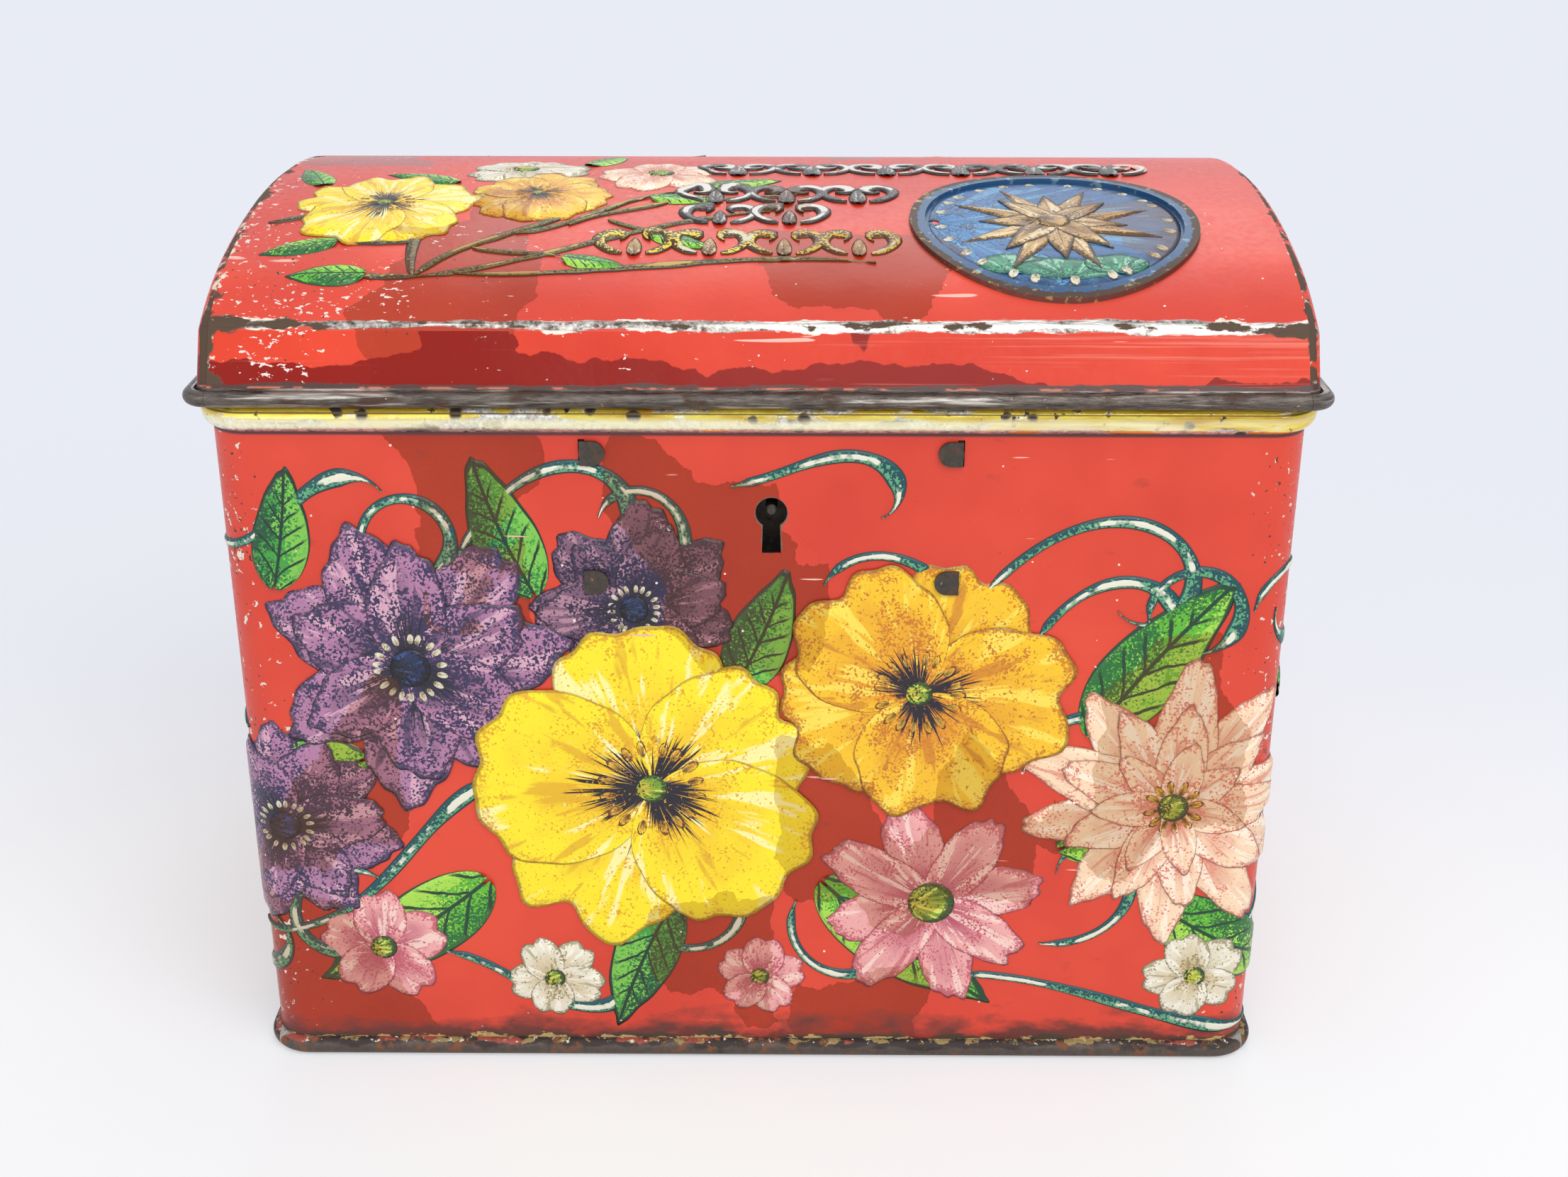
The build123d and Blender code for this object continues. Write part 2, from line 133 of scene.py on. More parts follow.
def looked_at(t):
    """1 for a ray from the eye, 0 for one that only carries light."""
    rays = add(t, "LightPath").node.outputs
    seen = add(t, "Math MAXIMUM", rays["Is Camera Ray"], rays["Is Glossy Ray"])
    return add(t, "Math MAXIMUM", seen, rays["Is Transmission Ray"])


t = world.node_tree
t.nodes.clear()
soft = add(t, "Background", Color=colour("#F1F4FB"), Strength=0.55)
shown = add(t, "Background", Color=colour("#E9ECF5"), Strength=1.0)
add(t, "OutputWorld", add(t, "MixShader", looked_at(t), soft, shown))
for name, spot, size, power in (
    ("key_panel", (0.20, -0.50, 0.72), 0.7, 4.4),
    ("fill_panel", (-0.45, -0.60, 0.30), 0.7, 1.0),
    ("back_panel", (0.06, 0.54, 0.66), 0.5, 1.2),
):
    lamp = bpy.data.objects.new(name, bpy.data.lights.new(name, "AREA"))
    lamp.data.size = size
    lamp.data.energy = power
    lamp.location = spot
    lamp.rotation_euler = (Vector((0, 0, 0.06)) - lamp.location).to_track_quat("-Z", "Y").to_euler()
    bpy.context.scene.collection.objects.link(lamp)

NEAR_EDGE, CURVE_START, CURVE_R, TOP_EDGE, HALF_WIDTH = -1.2, 0.75, 0.5, 2.4, 2.2
FOOTPRINT = (0.085, 0.06, 0)
turns = np.linspace(0.05, math.pi / 2, 24)
sweep_line = [(NEAR_EDGE, 0.0), (CURVE_START, 0.0)]
sweep_line += [(CURVE_START + CURVE_R * math.sin(a), CURVE_R - CURVE_R * math.cos(a)) for a in turns]
sweep_line += [(CURVE_START + CURVE_R, TOP_EDGE)]
edges = [[(x, y, z) for y, z in sweep_line] for x in (-HALF_WIDTH, HALF_WIDTH)]
floor_mesh = bpy.data.meshes.new("white_sheet")
count = len(sweep_line)
floor_mesh.from_pydata(edges[0] + edges[1], [], [(i, i + 1, count + i + 1, count + i) for i in range(count - 1)])
for face in floor_mesh.polygons:
    face.use_smooth = True
floor = bpy.data.objects.new("white_sheet", floor_mesh)
bpy.context.scene.collection.objects.link(floor)
paper, t = new_finish("white_paper_sheet")
place = add(t, "TexCoord", out=3)
depth = add(t, "SeparateXYZ", place, out=1)
beyond = add(t, "VectorMath ABSOLUTE", place)
beyond = add(t, "VectorMath SUBTRACT", beyond, FOOTPRINT)
beyond = add(t, "VectorMath MAXIMUM", beyond, (0, 0, 0))
beyond = add(t, "VectorMath LENGTH", beyond, out=1)
far = add(t, "MapRange", beyond, 0.0, 0.32, 0.4, 1.0, interpolation_type="SMOOTHSTEP")
even = add(t, "Math MULTIPLY", looked_at(t), far)
# Painted light: the sheet that the eye sees is painted whiter in front of the chest and close to it, a painted pool
# of light on the floor.
front = add(t, "MapRange", depth, -0.08, 0.12, 1.0, 0.0, interpolation_type="SMOOTHSTEP")
close = add(t, "MapRange", beyond, 0.08, 0.5, 1.0, 0.0, interpolation_type="SMOOTHSTEP")
painted_light_pool = add(t, "Math MULTIPLY", front, close)
tone = lay_colour(t, painted_light_pool, "#E9ECF5", "#FFFFFF")
sheet = add(t, "BsdfDiffuse", Color=colour("#F4F5F7"))
backdrop = add(t, "Emission", Color=tone, Strength=1.0)
add(t, "OutputMaterial", add(t, "MixShader", even, sheet, backdrop))
floor_mesh.materials.append(paper)
print("floor from y", sweep_line[0][0], "to", sweep_line[-1][0])
bpy.context.scene.view_settings.view_transform = "Standard"

# %% [markdown]
# The finish of an old tin is a stack of coats: bare tinplate, printed ink, varnish, and then what age did,
# such as chips and rust. Each coat here is a small record of its colour, roughness, metal and height, and
# `cover` lays one over another through a mask, so that all four change together at one edge. A coat's
# height, in millimetres, adds to what lies under it, so a thin coat follows the dents of the sheet.

# %% Coats
def coat(shade, rough, metal=0.0, raised=0.0, gloss=0.5):
    return {"shade": colour(shade), "rough": rough, "metal": metal, "raised": raised, "gloss": gloss}


def cover(t, under, over, mask):
    """One coat over another where the mask is 1."""
    mixed = {"shade": lay_colour(t, mask, under["shade"], over["shade"])}
    for part in ("rough", "metal", "gloss"):
        same = under[part] == over[part]
        mixed[part] = under[part] if same else add(t, "Mix", mask, None, under[part], over[part])
    mixed["raised"] = add(t, "Math MULTIPLY_ADD", mask, over["raised"], under["raised"])
    return mixed


def harden(t, top):
    """Ends a recipe: the coats become one surface, and their heights, in millimetres, its small relief."""
    relief = add(t, "Bump", Strength=1.0, Distance=MM, Height=top["raised"])
    parts = {"Base Color": top["shade"], "Roughness": top["rough"], "Metallic": top["metal"], "Normal": relief}
    parts["Specular IOR Level"] = top["gloss"]
    add(t, "OutputMaterial", add(t, "BsdfPrincipled", **parts))


# %% [markdown]
# Wear needs masks of a real size. `spot` gives the place on the part in millimetres, `blotches` makes
# irregular patches of a given size and share, and `between` marks a range of a coordinate with soft ends.
# `push` makes blotches grow where wear is heavier, such as along an edge. `mottled` lets a shade drift between
# two colours, and `flecked_by` lays a whole table of worn and dirty coats, the lowest first.

# %% Masks in real sizes
def spot(t):
    """The place on the part in millimetres, and its x, y and z."""
    point = add(t, "VectorMath MULTIPLY", add(t, "TexCoord", out=3), (1000, 1000, 1000))
    return point, *add(t, "SeparateXYZ", point).node.outputs


EVEN = (1, 1, 1)


def blotches(t, point, size, level, edge=0.02, grain=4, stretch=EVEN, shift=0.0, push=None):
    scaled = add(
        t, "VectorMath MULTIPLY_ADD", point, tuple(s / size for s in stretch), (shift, shift * 1.7, shift * 0.6)
    )
    value = add(t, "TexNoise", Vector=scaled, Scale=1.0, Detail=grain, Roughness=0.6)
    if push is not None:
        value = add(t, "Math ADD", value, push)
    return add(t, "MapRange", value, level - edge, level + edge)


def mottled(t, point, dark, light, scale, detail, rough=0.5, span=None):
    """A shade that drifts between two colours, and the noise behind it, where `span` is what counts as 0 and 1."""
    tone = add(t, "TexNoise", Vector=point, Scale=scale, Detail=detail, Roughness=rough)
    if span:
        tone = add(t, "MapRange", tone, *span)
    return lay_colour(t, tone, dark, light), tone


def flecked(t, under, over, point, size, level, edge=0.02, **form):
    """One coat over another in blotches."""
    return cover(t, under, over, blotches(t, point, size, level, edge, **form))


def flecked_by(t, top, point, rows):
    """Several coats in blotches, one over the other. A row has the coat, then the blotches' size, level, edge,
    grain, stretch and shift, and where there is one, what pushes them."""
    for over, size, level, edge, grain, stretch, shift, *push in rows:
        form = {"grain": grain, "stretch": stretch, "shift": shift, "push": push[0] if push else None}
        top = flecked(t, top, over, point, size, level, edge, **form)
    return top


def between(t, value, low, high, soft):
    """1 from low to high, with both ends `soft` to each side."""
    rise = add(t, "MapRange", value, low - soft, low + soft)
    fall = add(t, "MapRange", value, high - soft, high + soft, 1.0, 0.0)
    return add(t, "Math MULTIPLY", rise, fall)


def looks_out(t, arm):
    """How far a face looks along the arm that reaches it from inside, in mm, and 1 where it looks out."""
    facing = add(t, "VectorMath DOT_PRODUCT", add(t, "TexCoord", out=1), arm, out=1)
    return facing, add(t, "MapRange", facing, -4.0, -2.0)


def dots(t, point, pitch, radius, share, shift=0.0):
    """Round spots of one size, on average `pitch` apart; `share` of them are kept."""
    moved = add(t, "VectorMath MULTIPLY_ADD", point, (1 / pitch,) * 3, (shift,) * 3)
    cell = add(t, "TexVoronoi", Vector=moved, Scale=1.0).node.outputs
    near = add(t, "MapRange", cell["Distance"], radius / pitch, 0.8 * radius / pitch)
    kept = add(t, "Math LESS_THAN", add(t, "SeparateXYZ", cell["Color"]), share)
    return add(t, "Math MULTIPLY", near, kept)


def product(t, *masks):
    """1 only where every mask is."""
    total = masks[0]
    for mask in masks[1:]:
        total = add(t, "Math MULTIPLY", total, mask)
    return total


def greatest(t, *masks):
    """1 where any mask is."""
    total = masks[0]
    for mask in masks[1:]:
        total = add(t, "Math MAXIMUM", total, mask)
    return total


# %% [markdown]
# Varnish over the print has darkened to amber and flaked off in large flat pieces, so some stretches of red
# look maroon and some of the yellow looks ochre, with a sharp edge between. One function lays this age over
# every printed surface. It works from the place on the part, so a flake runs on from the ground over a flower.

# %% Age over the print
def flakes(t, point, size, share, shift=0.0):
    """Angular patches as flaking varnish leaves them: cells of a grid-like pattern with ragged edges."""
    ragged = add(t, "TexNoise", Vector=point, Scale=0.12, Detail=4.0, Roughness=0.6, out=1)
    ragged = add(t, "VectorMath MULTIPLY_ADD", ragged, (0.22, 0.22, 0.22), (shift, shift, shift))
    place = add(t, "VectorMath MULTIPLY_ADD", point, (1 / size, 1 / size, 0.7 / size), ragged)
    cell = add(t, "TexVoronoi", Vector=place, Scale=1.0, out=1, distance="CHEBYCHEV")
    return add(t, "MapRange", add(t, "SeparateXYZ", cell), share, share + 0.01, 1.0, 0.0)


def age(t, top, point, chips=0.0, glaze="#F0E4D8"):
    """Amber varnish, cream chips, dark specks and fine scratches over a printed coat."""
    amber = dict(top, raised=0.0)
    stained = lay_colour(t, 0.24, top["shade"], "#8A5A2C")
    amber["shade"] = lay_colour(t, 1.0, stained, glaze, blend_type="MULTIPLY")
    amber["rough"], amber["gloss"] = 0.26, 0.3
    patches = flakes(t, point, 21, 0.24, 4.3)
    top = cover(t, top, amber, add(t, "Math MULTIPLY", patches, 0.9))
    rubbed = coat("#E9DFCE", 0.55, raised=-0.04)
    clusters = blotches(t, point, 20, 0.55, 0.12, grain=2, shift=8.0)
    worn = add(t, "Math MULTIPLY_ADD", clusters, 0.07, -0.07)
    worn = add(t, "Math ADD", worn, chips)
    top = flecked(t, top, rubbed, point, 1.5, 0.735, 0.01, grain=3, push=worn)
    top = cover(t, top, coat("#F3D9CB", 0.5), dots(t, point, 2.6, 0.22, 0.1, shift=2.0))
    scratch = add(t, "MapRange", clusters, 0.0, 1.0, -0.05, 0.02)
    top = flecked(
        t, top, coat("#F0B7A6", 0.5), point, 5, 0.75, 0.01, grain=1, stretch=(0.35, 0.35, 5), shift=3.0, push=scratch
    )
    rust_speck = coat("#4A342B", 0.7, raised=-0.02)
    return flecked(t, top, rust_speck, point, 0.9, 0.80, 0.02, grain=1, shift=5.0, push=worn)


# %% [markdown]
# The ground is red printing ink, stoved on tinplate and varnished: half glossy, a little uneven, with faint
# dents in the sheet. Inside, the plate is bare: dull grey tin with tea-brown stains.

# %% Ground and bare plate
def red_ground(t, point):
    shade = mottled(t, point, "#D23923", "#E3462C", 0.03, 3.0, 0.6, span=(0.35, 0.65))[0]
    grain = add(t, "TexNoise", Vector=point, Scale=0.9, Detail=2.0)
    dents = add(t, "TexNoise", Vector=point, Scale=0.06, Detail=1.0)
    raised = add(t, "Math MULTIPLY_ADD", dents, 0.5, add(t, "Math MULTIPLY", grain, 0.03))
    rough = add(t, "MapRange", grain, 0.3, 0.7, 0.30, 0.42)
    return coat(shade, rough, raised=raised)


def bare_tin(t, point):
    shade, tone = mottled(t, point, "#8F8A80", "#C6C3BB", 0.12, 4.0, 0.65)
    rough = add(t, "MapRange", tone, 0.3, 0.7, 0.55, 0.36)
    tin = coat(shade, rough, metal=1.0)
    stain = coat("#7A5A3C", 0.7, metal=0.3)
    return flecked(t, tin, stain, point, 9, 0.62, 0.05, shift=2.0)


def rolled_rim(t, point):
    """Tinplate worn to dark steel on a roll: brown-grey and smooth, with bright rubs and cream crumbs."""
    drawn = add(t, "VectorMath MULTIPLY", point, (0.25, 0.25, 2.2))
    shade, tone = mottled(t, drawn, "#221B17", "#7C7269", 0.8, 5.0, 0.75, span=(0.3, 0.7))
    steel = coat(shade, 0.3, metal=0.7, raised=add(t, "Math MULTIPLY", tone, 0.08))
    rows = (
        (coat("#4A3326", 0.7, metal=0.1, raised=0.02), 4, 0.60, 0.04, 5, (0.5, 0.5, 1), 1.0),
        (coat("#B8B1A6", 0.3, metal=1.0), 3, 0.60, 0.04, 4, (0.12, 0.12, 2.4), 6.0),
        (coat("#C9B58E", 0.6, raised=0.03), 1.2, 0.76, 0.02, 2, EVEN, 9.0),
    )
    return flecked_by(t, steel, point, rows)


def rusted_foot(t, point, z):
    """The foot bead: brown-grey and smooth where it stands, dark above with crumbs of paint and lacquer."""
    shade, tone = mottled(t, point, "#2A211D", "#6E6158", 0.7, 5.0, 0.75)
    foot = coat(shade, 0.5, metal=0.4, raised=add(t, "Math MULTIPLY", tone, 0.12))
    upper = add(t, "MapRange", z, 1.6, 2.8, -0.15, 0.14)
    wide = (0.5, 0.5, 1)
    rows = (
        (coat("#2A1F1A", 0.65, raised=-0.03), 3.5, 0.5, 0.06, 5, wide, 1.0, upper),
        (coat("#7A4C30", 0.8, raised=0.03), 2.6, 0.60, 0.05, 5, EVEN, 8.0),
        (coat("#97804F", 0.6, raised=0.08), 1.5, 0.68, 0.02, 5, wide, 3.9, upper),
        (coat("#9A4436", 0.5, raised=0.06), 4, 0.70, 0.02, 4, wide, 4.9, upper),
        (coat("#E2D6BE", 0.6, raised=0.05), 1.1, 0.76, 0.02, 3, EVEN, 9.0, upper),
    )
    return flecked_by(t, foot, point, rows)


# %% [markdown]
# Gold on old tins isn't gold leaf but yellow lacquer over bright tin. Where it has worn through, the plate
# shows silver. The bead under the lid has both, with rust spots, and so has the neck above it.

# %% Gold lacquer
def gold_lacquer(t, point, wear):
    """Yellow lacquer over bright tin. `wear` is where it has gone; there the tin is smudged grey."""
    drawn = add(t, "VectorMath MULTIPLY", point, (0.16, 0.16, 1.6))
    gold_shade = mottled(t, drawn, "#CB9716", "#FFEC66", 0.55, 3.0, 0.6, span=(0.3, 0.66))[0]
    gold = coat(gold_shade, 0.16, metal=0.9)
    smudge = coat("#4C443C", 0.5, metal=0.6)
    tin_shade, grey = mottled(t, point, "#8A857D", "#F7F5EF", 1.1, 4.0, 0.75, span=(0.36, 0.62))
    tin = coat(tin_shade, 0.34, metal=0.85, raised=add(t, "Math MULTIPLY", grey, -0.02))
    tin = flecked(t, tin, smudge, point, 5, 0.60, 0.05, grain=5, stretch=(0.3, 0.3, 1.6), shift=2.6)
    rows = (
        (coat("#EFE6C0", 0.4, metal=0.6), 2.5, 0.62, 0.03, 4, (0.4, 0.4, 1.5), 3.1),
        (tin, 9, 0.56, 0.02, 5, (0.5, 0.5, 2.2), 0.0, wear),
    )
    gold = flecked_by(t, gold, point, rows)
    rust = coat("#33261F", 0.75, metal=0.1, raised=0.03)
    ragged = add(t, "TexNoise", Vector=point, Scale=0.9, Detail=1.0, out=1)
    ragged = add(t, "VectorMath MULTIPLY_ADD", ragged, (0.6, 0.6, 0.6), point)
    gold = cover(t, gold, coat("#6A5C4C", 0.7, metal=0.2, raised=0.02), dots(t, ragged, 3.4, 1.2, 0.42, shift=1.3))
    gold = cover(t, gold, rust, dots(t, ragged, 3.4, 0.95, 0.42, shift=1.3))
    return flecked(t, gold, rust, point, 2.6, 0.65, 0.02, grain=3, shift=4.0)

# %% [markdown]
# The body is one strip of tinplate that carries four finishes: red print outside, gold on the bead and on the
# neck, bare tin inside, and rust where it meets the foot. The inside is told from the outside by the way the
# surface faces, and the rest by height; only the narrow sides of the folded back seam face neither way.
# Paint is worn off round the keyhole, where the key scratched it, and chipped at the four corners.

# %% Body wall
body_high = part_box("body_wall")[1]
BEAD_PROUD = 1.6
WALL_X = body_high.x / MM - BEAD_PROUD
WALL_Y = body_high.y / MM - BEAD_PROUD
BEAD_LOW, BEAD_MIDDLE, BEAD_TOP = 110.3, 112.6, 115.0
KEY_X, KEY_Z = 2.0, 97.7
KEY_HOLE_R, KEY_SLOT_HALF, KEY_SLOT_LOW = 2.3, 1.28, 5.85
CORNER_SPOT = (79, 54, 0)
print("wall", round(WALL_X, 2), "x", round(WALL_Y, 2), "mm from the middle, neck up to", round(body_high.z / MM, 2))

tinplate, t = new_finish("lithographed_tinplate_body")
point, x, y, z = spot(t)
flat = add(t, "VectorMath MULTIPLY", point, (1, 1, 0))
facing, outside = looks_out(t, flat)
seam_side = product(
    t, between(t, facing, -3.0, 3.0, 0.1), between(t, x, -2.4, 2.4, 0.1), add(t, "Math LESS_THAN", z, BEAD_LOW)
)
outside = add(t, "Math SUBTRACT", outside, seam_side, use_clamp=True)
aside = add(t, "VectorMath SUBTRACT", add(t, "VectorMath ABSOLUTE", flat), CORNER_SPOT)
from_corner = add(t, "VectorMath LENGTH", aside, out=1)
corner_wear = add(t, "MapRange", from_corner, 2.0, 14.0, 0.15, 0.0)
top = age(t, red_ground(t, point), point, chips=corner_wear, glaze="#CFBDAC")
low_wear = add(t, "MapRange", z, 2.6, 10.5, 0.26, -0.2)
crumb_wear = add(t, "MapRange", z, 2.8, 6.0, 0.18, -0.3)
grime_and_crumbs = (
    (coat("#6A2E26", 0.5, metal=0.05, raised=0.01), 5, 0.58, 0.12, 4, (0.5, 0.5, 1), 1.5, low_wear),
    (coat("#4A382C", 0.7, raised=0.03), 3, 0.56, 0.05, 4, (0.4, 0.4, 1), 7.5, crumb_wear),
    (coat("#BFA468", 0.6, raised=0.05), 2.2, 0.66, 0.02, 4, (0.5, 0.5, 1), 6.6, crumb_wear),
)
top = flecked_by(t, top, point, grime_and_crumbs)
across = add(t, "Math SUBTRACT", x, KEY_X)
rise = add(t, "Math SUBTRACT", z, KEY_Z)
round_gap = add(t, "VectorMath LENGTH", add(t, "CombineXYZ", across, rise), out=1)
round_gap = add(t, "Math SUBTRACT", round_gap, KEY_HOLE_R)
beside = add(t, "Math SUBTRACT", add(t, "Math ABSOLUTE", across), KEY_SLOT_HALF)
under = add(t, "Math MULTIPLY_ADD", rise, -1.0, -KEY_SLOT_LOW)
slot_gap = greatest(t, beside, under, rise)
key_gap = add(t, "Math MINIMUM", round_gap, slot_gap)
front = add(t, "Math LESS_THAN", y, 0.0)
key_wear = product(t, front, add(t, "MapRange", key_gap, 0.1, 0.7, 0.2, -0.4))
top = cover(
    t, top, coat("#7E6A5C", 0.5, metal=0.5, raised=-0.03),
    product(t, front, blotches(t, point, 1.5, 0.55, 0.04, grain=3, push=key_wear)),
)
bald = add(t, "MapRange", add(t, "Math ABSOLUTE", add(t, "Math SUBTRACT", x, -6.0)), 34.0, 50.0, 0.13, -0.06)
bald = add(t, "Math ADD", bald, add(t, "MapRange", z, BEAD_TOP - 1, BEAD_TOP + 1, 0.0, -0.08))
silver = add(t, "MapRange", z, BEAD_LOW + 0.9, BEAD_MIDDLE + 0.3, 0.12, -0.05)
bald = add(t, "Math ADD", bald, silver)
gold = gold_lacquer(t, point, bald)
gold = cover(t, gold, coat("#5A4A22", 0.4, metal=0.5), between(t, z, BEAD_MIDDLE + 0.9, BEAD_MIDDLE + 1.2, 0.12))
top = cover(t, top, coat("#5B2F33", 0.5), between(t, z, BEAD_LOW - 0.45, BEAD_LOW + 0.1, 0.15))
# Pale lacquer along the bead's crest and just below it: partly lacquer rubbed thin on the crest, partly a painted
# highlight where the bead catches the light.
crest_rub_and_highlight = product(
    t, between(t, z, BEAD_MIDDLE - 1.5, BEAD_MIDDLE + 0.3, 0.4),
    blotches(t, point, 6, 0.44, 0.1, grain=3, stretch=(0.2, 0.2, 1.5), shift=5.6),
)
gold = cover(t, gold, coat("#FFF9D2", 0.18, metal=0.8), add(t, "Math MULTIPLY", crest_rub_and_highlight, 0.8))
top = cover(t, top, gold, add(t, "MapRange", z, BEAD_LOW, BEAD_LOW + 0.2))
top = cover(t, bare_tin(t, point), top, outside)
harden(t, top)

# %% [markdown]
# The lid wears differently. Hands and the table have rubbed its bend line to bright tin with cream chips
# beside it, its arched edges are brown with rust, and the varnish has run down to the rim of the front band.

# %% Wear of the lid
lid_low, lid_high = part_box("lid_shell")
BEND_Y, BEND_Z = 53.2, 125.7
LID_EDGE = lid_high.x / MM
CURL_TOP = 117.25
MEDAL_X, MEDAL_Y, MEDAL_OUT, MEDAL_IN = 46.0, -26.5, 22.6, 20.2
SHELL_CORE, END_CORE = 96.0, 110.0
print("lid from", round(lid_low.z / MM, 2), "to", round(lid_high.z / MM, 2), "mm high, edge at x", round(LID_EDGE, 2))


def lid_coats(t, point, x, y, z, from_edge):
    """Red print with the lid's own wear. `from_edge` is the way to the arched edge in millimetres."""
    across = add(t, "Math ABSOLUTE", y)
    step = add(t, "Math SUBTRACT", across, BEND_Y)
    climb = add(t, "Math SUBTRACT", z, BEND_Z)
    from_bend = add(t, "VectorMath LENGTH", add(t, "CombineXYZ", step, climb), out=1)
    sideways = add(t, "Math ABSOLUTE", x)
    left = add(t, "MapRange", x, 20.0, -70.0, 0.01, 0.085)
    top = age(t, red_ground(t, point), point, chips=left, glaze="#D9C8B8")
    band = add(t, "Math LESS_THAN", z, BEND_Z - 0.9)
    top = cover(t, top, dict(top, raised=0.0, gloss=0.2), band)
    run = coat("#8C160C", 0.24, gloss=0.15)
    low_edge = add(t, "MapRange", x, -60.0, 20.0, 120.6, 118.2)
    over_edge = add(t, "Math SUBTRACT", z, low_edge)
    low_band = add(t, "MapRange", over_edge, -1.2, 3.0, 0.2, -0.12)
    dry = add(t, "MapRange", x, 38.0, 62.0, 0.0, -0.2)
    low_band = add(t, "Math ADD", low_band, dry)
    runs = blotches(t, point, 26, 0.55, 0.006, grain=5, stretch=(1, 1, 0.3), shift=2.7, push=low_band)
    ragged = add(t, "TexNoise", Vector=point, Scale=0.25, Detail=5.0)
    full = product(
        t, between(t, add(t, "Math MULTIPLY_ADD", ragged, 7.0, x), -47.0, -33.0, 0.1),
        add(t, "Math LESS_THAN", y, 0.0),
    )
    runs = greatest(t, runs, full)
    top = cover(t, top, run, product(t, band, add(t, "Math MULTIPLY", runs, 0.96)))
    brushed = blotches(
        t, point, 6, 0.62, 0.08, stretch=(0.08, 0.5, 6), shift=7.7,
        push=add(t, "MapRange", x, 0.0, 70.0, -0.12, 0.05),
    )
    top = cover(t, top, coat("#F49C88", 0.4, gloss=0.2), product(t, band, add(t, "Math MULTIPLY", brushed, 0.5)))
    sprinkled = add(t, "TexNoise", Vector=point, Scale=0.07, Detail=2.0)
    sprinkled = add(t, "MapRange", sprinkled, 0.4, 0.62, -0.14, 0.0)
    sprinkled = add(t, "Math ADD", add(t, "MapRange", x, 10.0, -64.0, -0.05, 0.075), sprinkled)
    edge_wear = add(t, "MapRange", from_bend, 0.3, 2.8, 0.12, -0.2)
    reach = add(t, "MapRange", x, -70.0, 50.0, 0.8, 1.45)
    share = add(t, "Math DIVIDE", from_bend, reach)
    rub = add(t, "MapRange", share, 0.2, 1.7, 0.2, -0.3)
    steel_shade = mottled(t, point, "#4E4740", "#C4BFB6", 0.9, 4.0, 0.75, span=(0.36, 0.64))[0]
    bright_side = add(t, "MapRange", x, -20.0, 20.0, -0.12, 0.08)
    bright = add(t, "Math ADD", add(t, "MapRange", share, 0.1, 1.5, 0.14, -0.3), bright_side)
    brown = coat("#54402F", 0.7, metal=0.2, raised=0.02)
    rub_rust = add(t, "MapRange", from_bend, 0.3, 2.4, 0.075, -0.3)
    ends = add(t, "MapRange", sideways, 58.0, 80.0, -0.02, 0.2)
    rub_rust = add(t, "Math ADD", rub_rust, ends)
    reach = add(t, "MapRange", x, -60.0, 60.0, 4.2, 2.2)
    arch = add(t, "MapRange", add(t, "Math DIVIDE", from_edge, reach), 0.2, 1.3, 0.13, -0.2)
    rows = (
        (coat("#EFD9CF", 0.5, raised=-0.02), 0.8, 0.70, 0.015, 2, (0.6, 1, 1), 6.3, sprinkled),
        (coat("#EDE3D2", 0.5, raised=-0.03), 3.2, 0.60, 0.015, 5, (0.45, 1, 1), 2.2, edge_wear),
        (coat(steel_shade, 0.36, metal=0.85, raised=-0.05), 3.2, 0.52, 0.03, 5, (0.25, 1, 1), 5.2, rub),
        (coat("#D2CEC5", 0.32, metal=0.8), 3.4, 0.60, 0.04, 5, (0.2, 1, 1), 8.2, bright),
        (brown, 2.6, 0.62, 0.03, 5, (0.5, 1, 1), 9.2, rub_rust),
        (coat("#E6D8C4", 0.5), 1.8, 0.66, 0.02, 4, EVEN, 1.2, arch),
        (brown, 7, 0.60, 0.025, 6, EVEN, 4.4, arch),
    )
    return flecked_by(t, top, point, rows)


def rim_and_inside(t, point, z, top, outside):
    soot = add(t, "MapRange", z, CURL_TOP + 0.1, CURL_TOP + 1.3, 0.3, -0.3)
    top = flecked(t, top, coat("#46231A", 0.4), point, 3, 0.56, 0.05, stretch=(0.3, 0.3, 1), shift=5.1, push=soot)
    # A thin pale line along the fold where the band meets the rim: a painted glint.
    top = cover(
        t, top, coat("#CF6E52", 0.4),
        product(
            t, between(t, z, CURL_TOP - 0.1, CURL_TOP + 0.2, 0.1),
            blotches(t, point, 2.2, 0.56, 0.03, grain=3, stretch=(0.4, 0.4, 1), shift=1.1),
        ),
    )
    above = add(t, "MapRange", z, CURL_TOP - 0.2, CURL_TOP + 0.02, 1.0, 0.0)
    top = cover(t, top, rolled_rim(t, point), above)
    return cover(t, bare_tin(t, point), top, outside)


# %% [markdown]
# The pressed frame of the round picture is a ridge outside and a groove inside, and only the ridge is blue.
# On its slopes, which way a face leans across the frame tells the ridge from the groove.

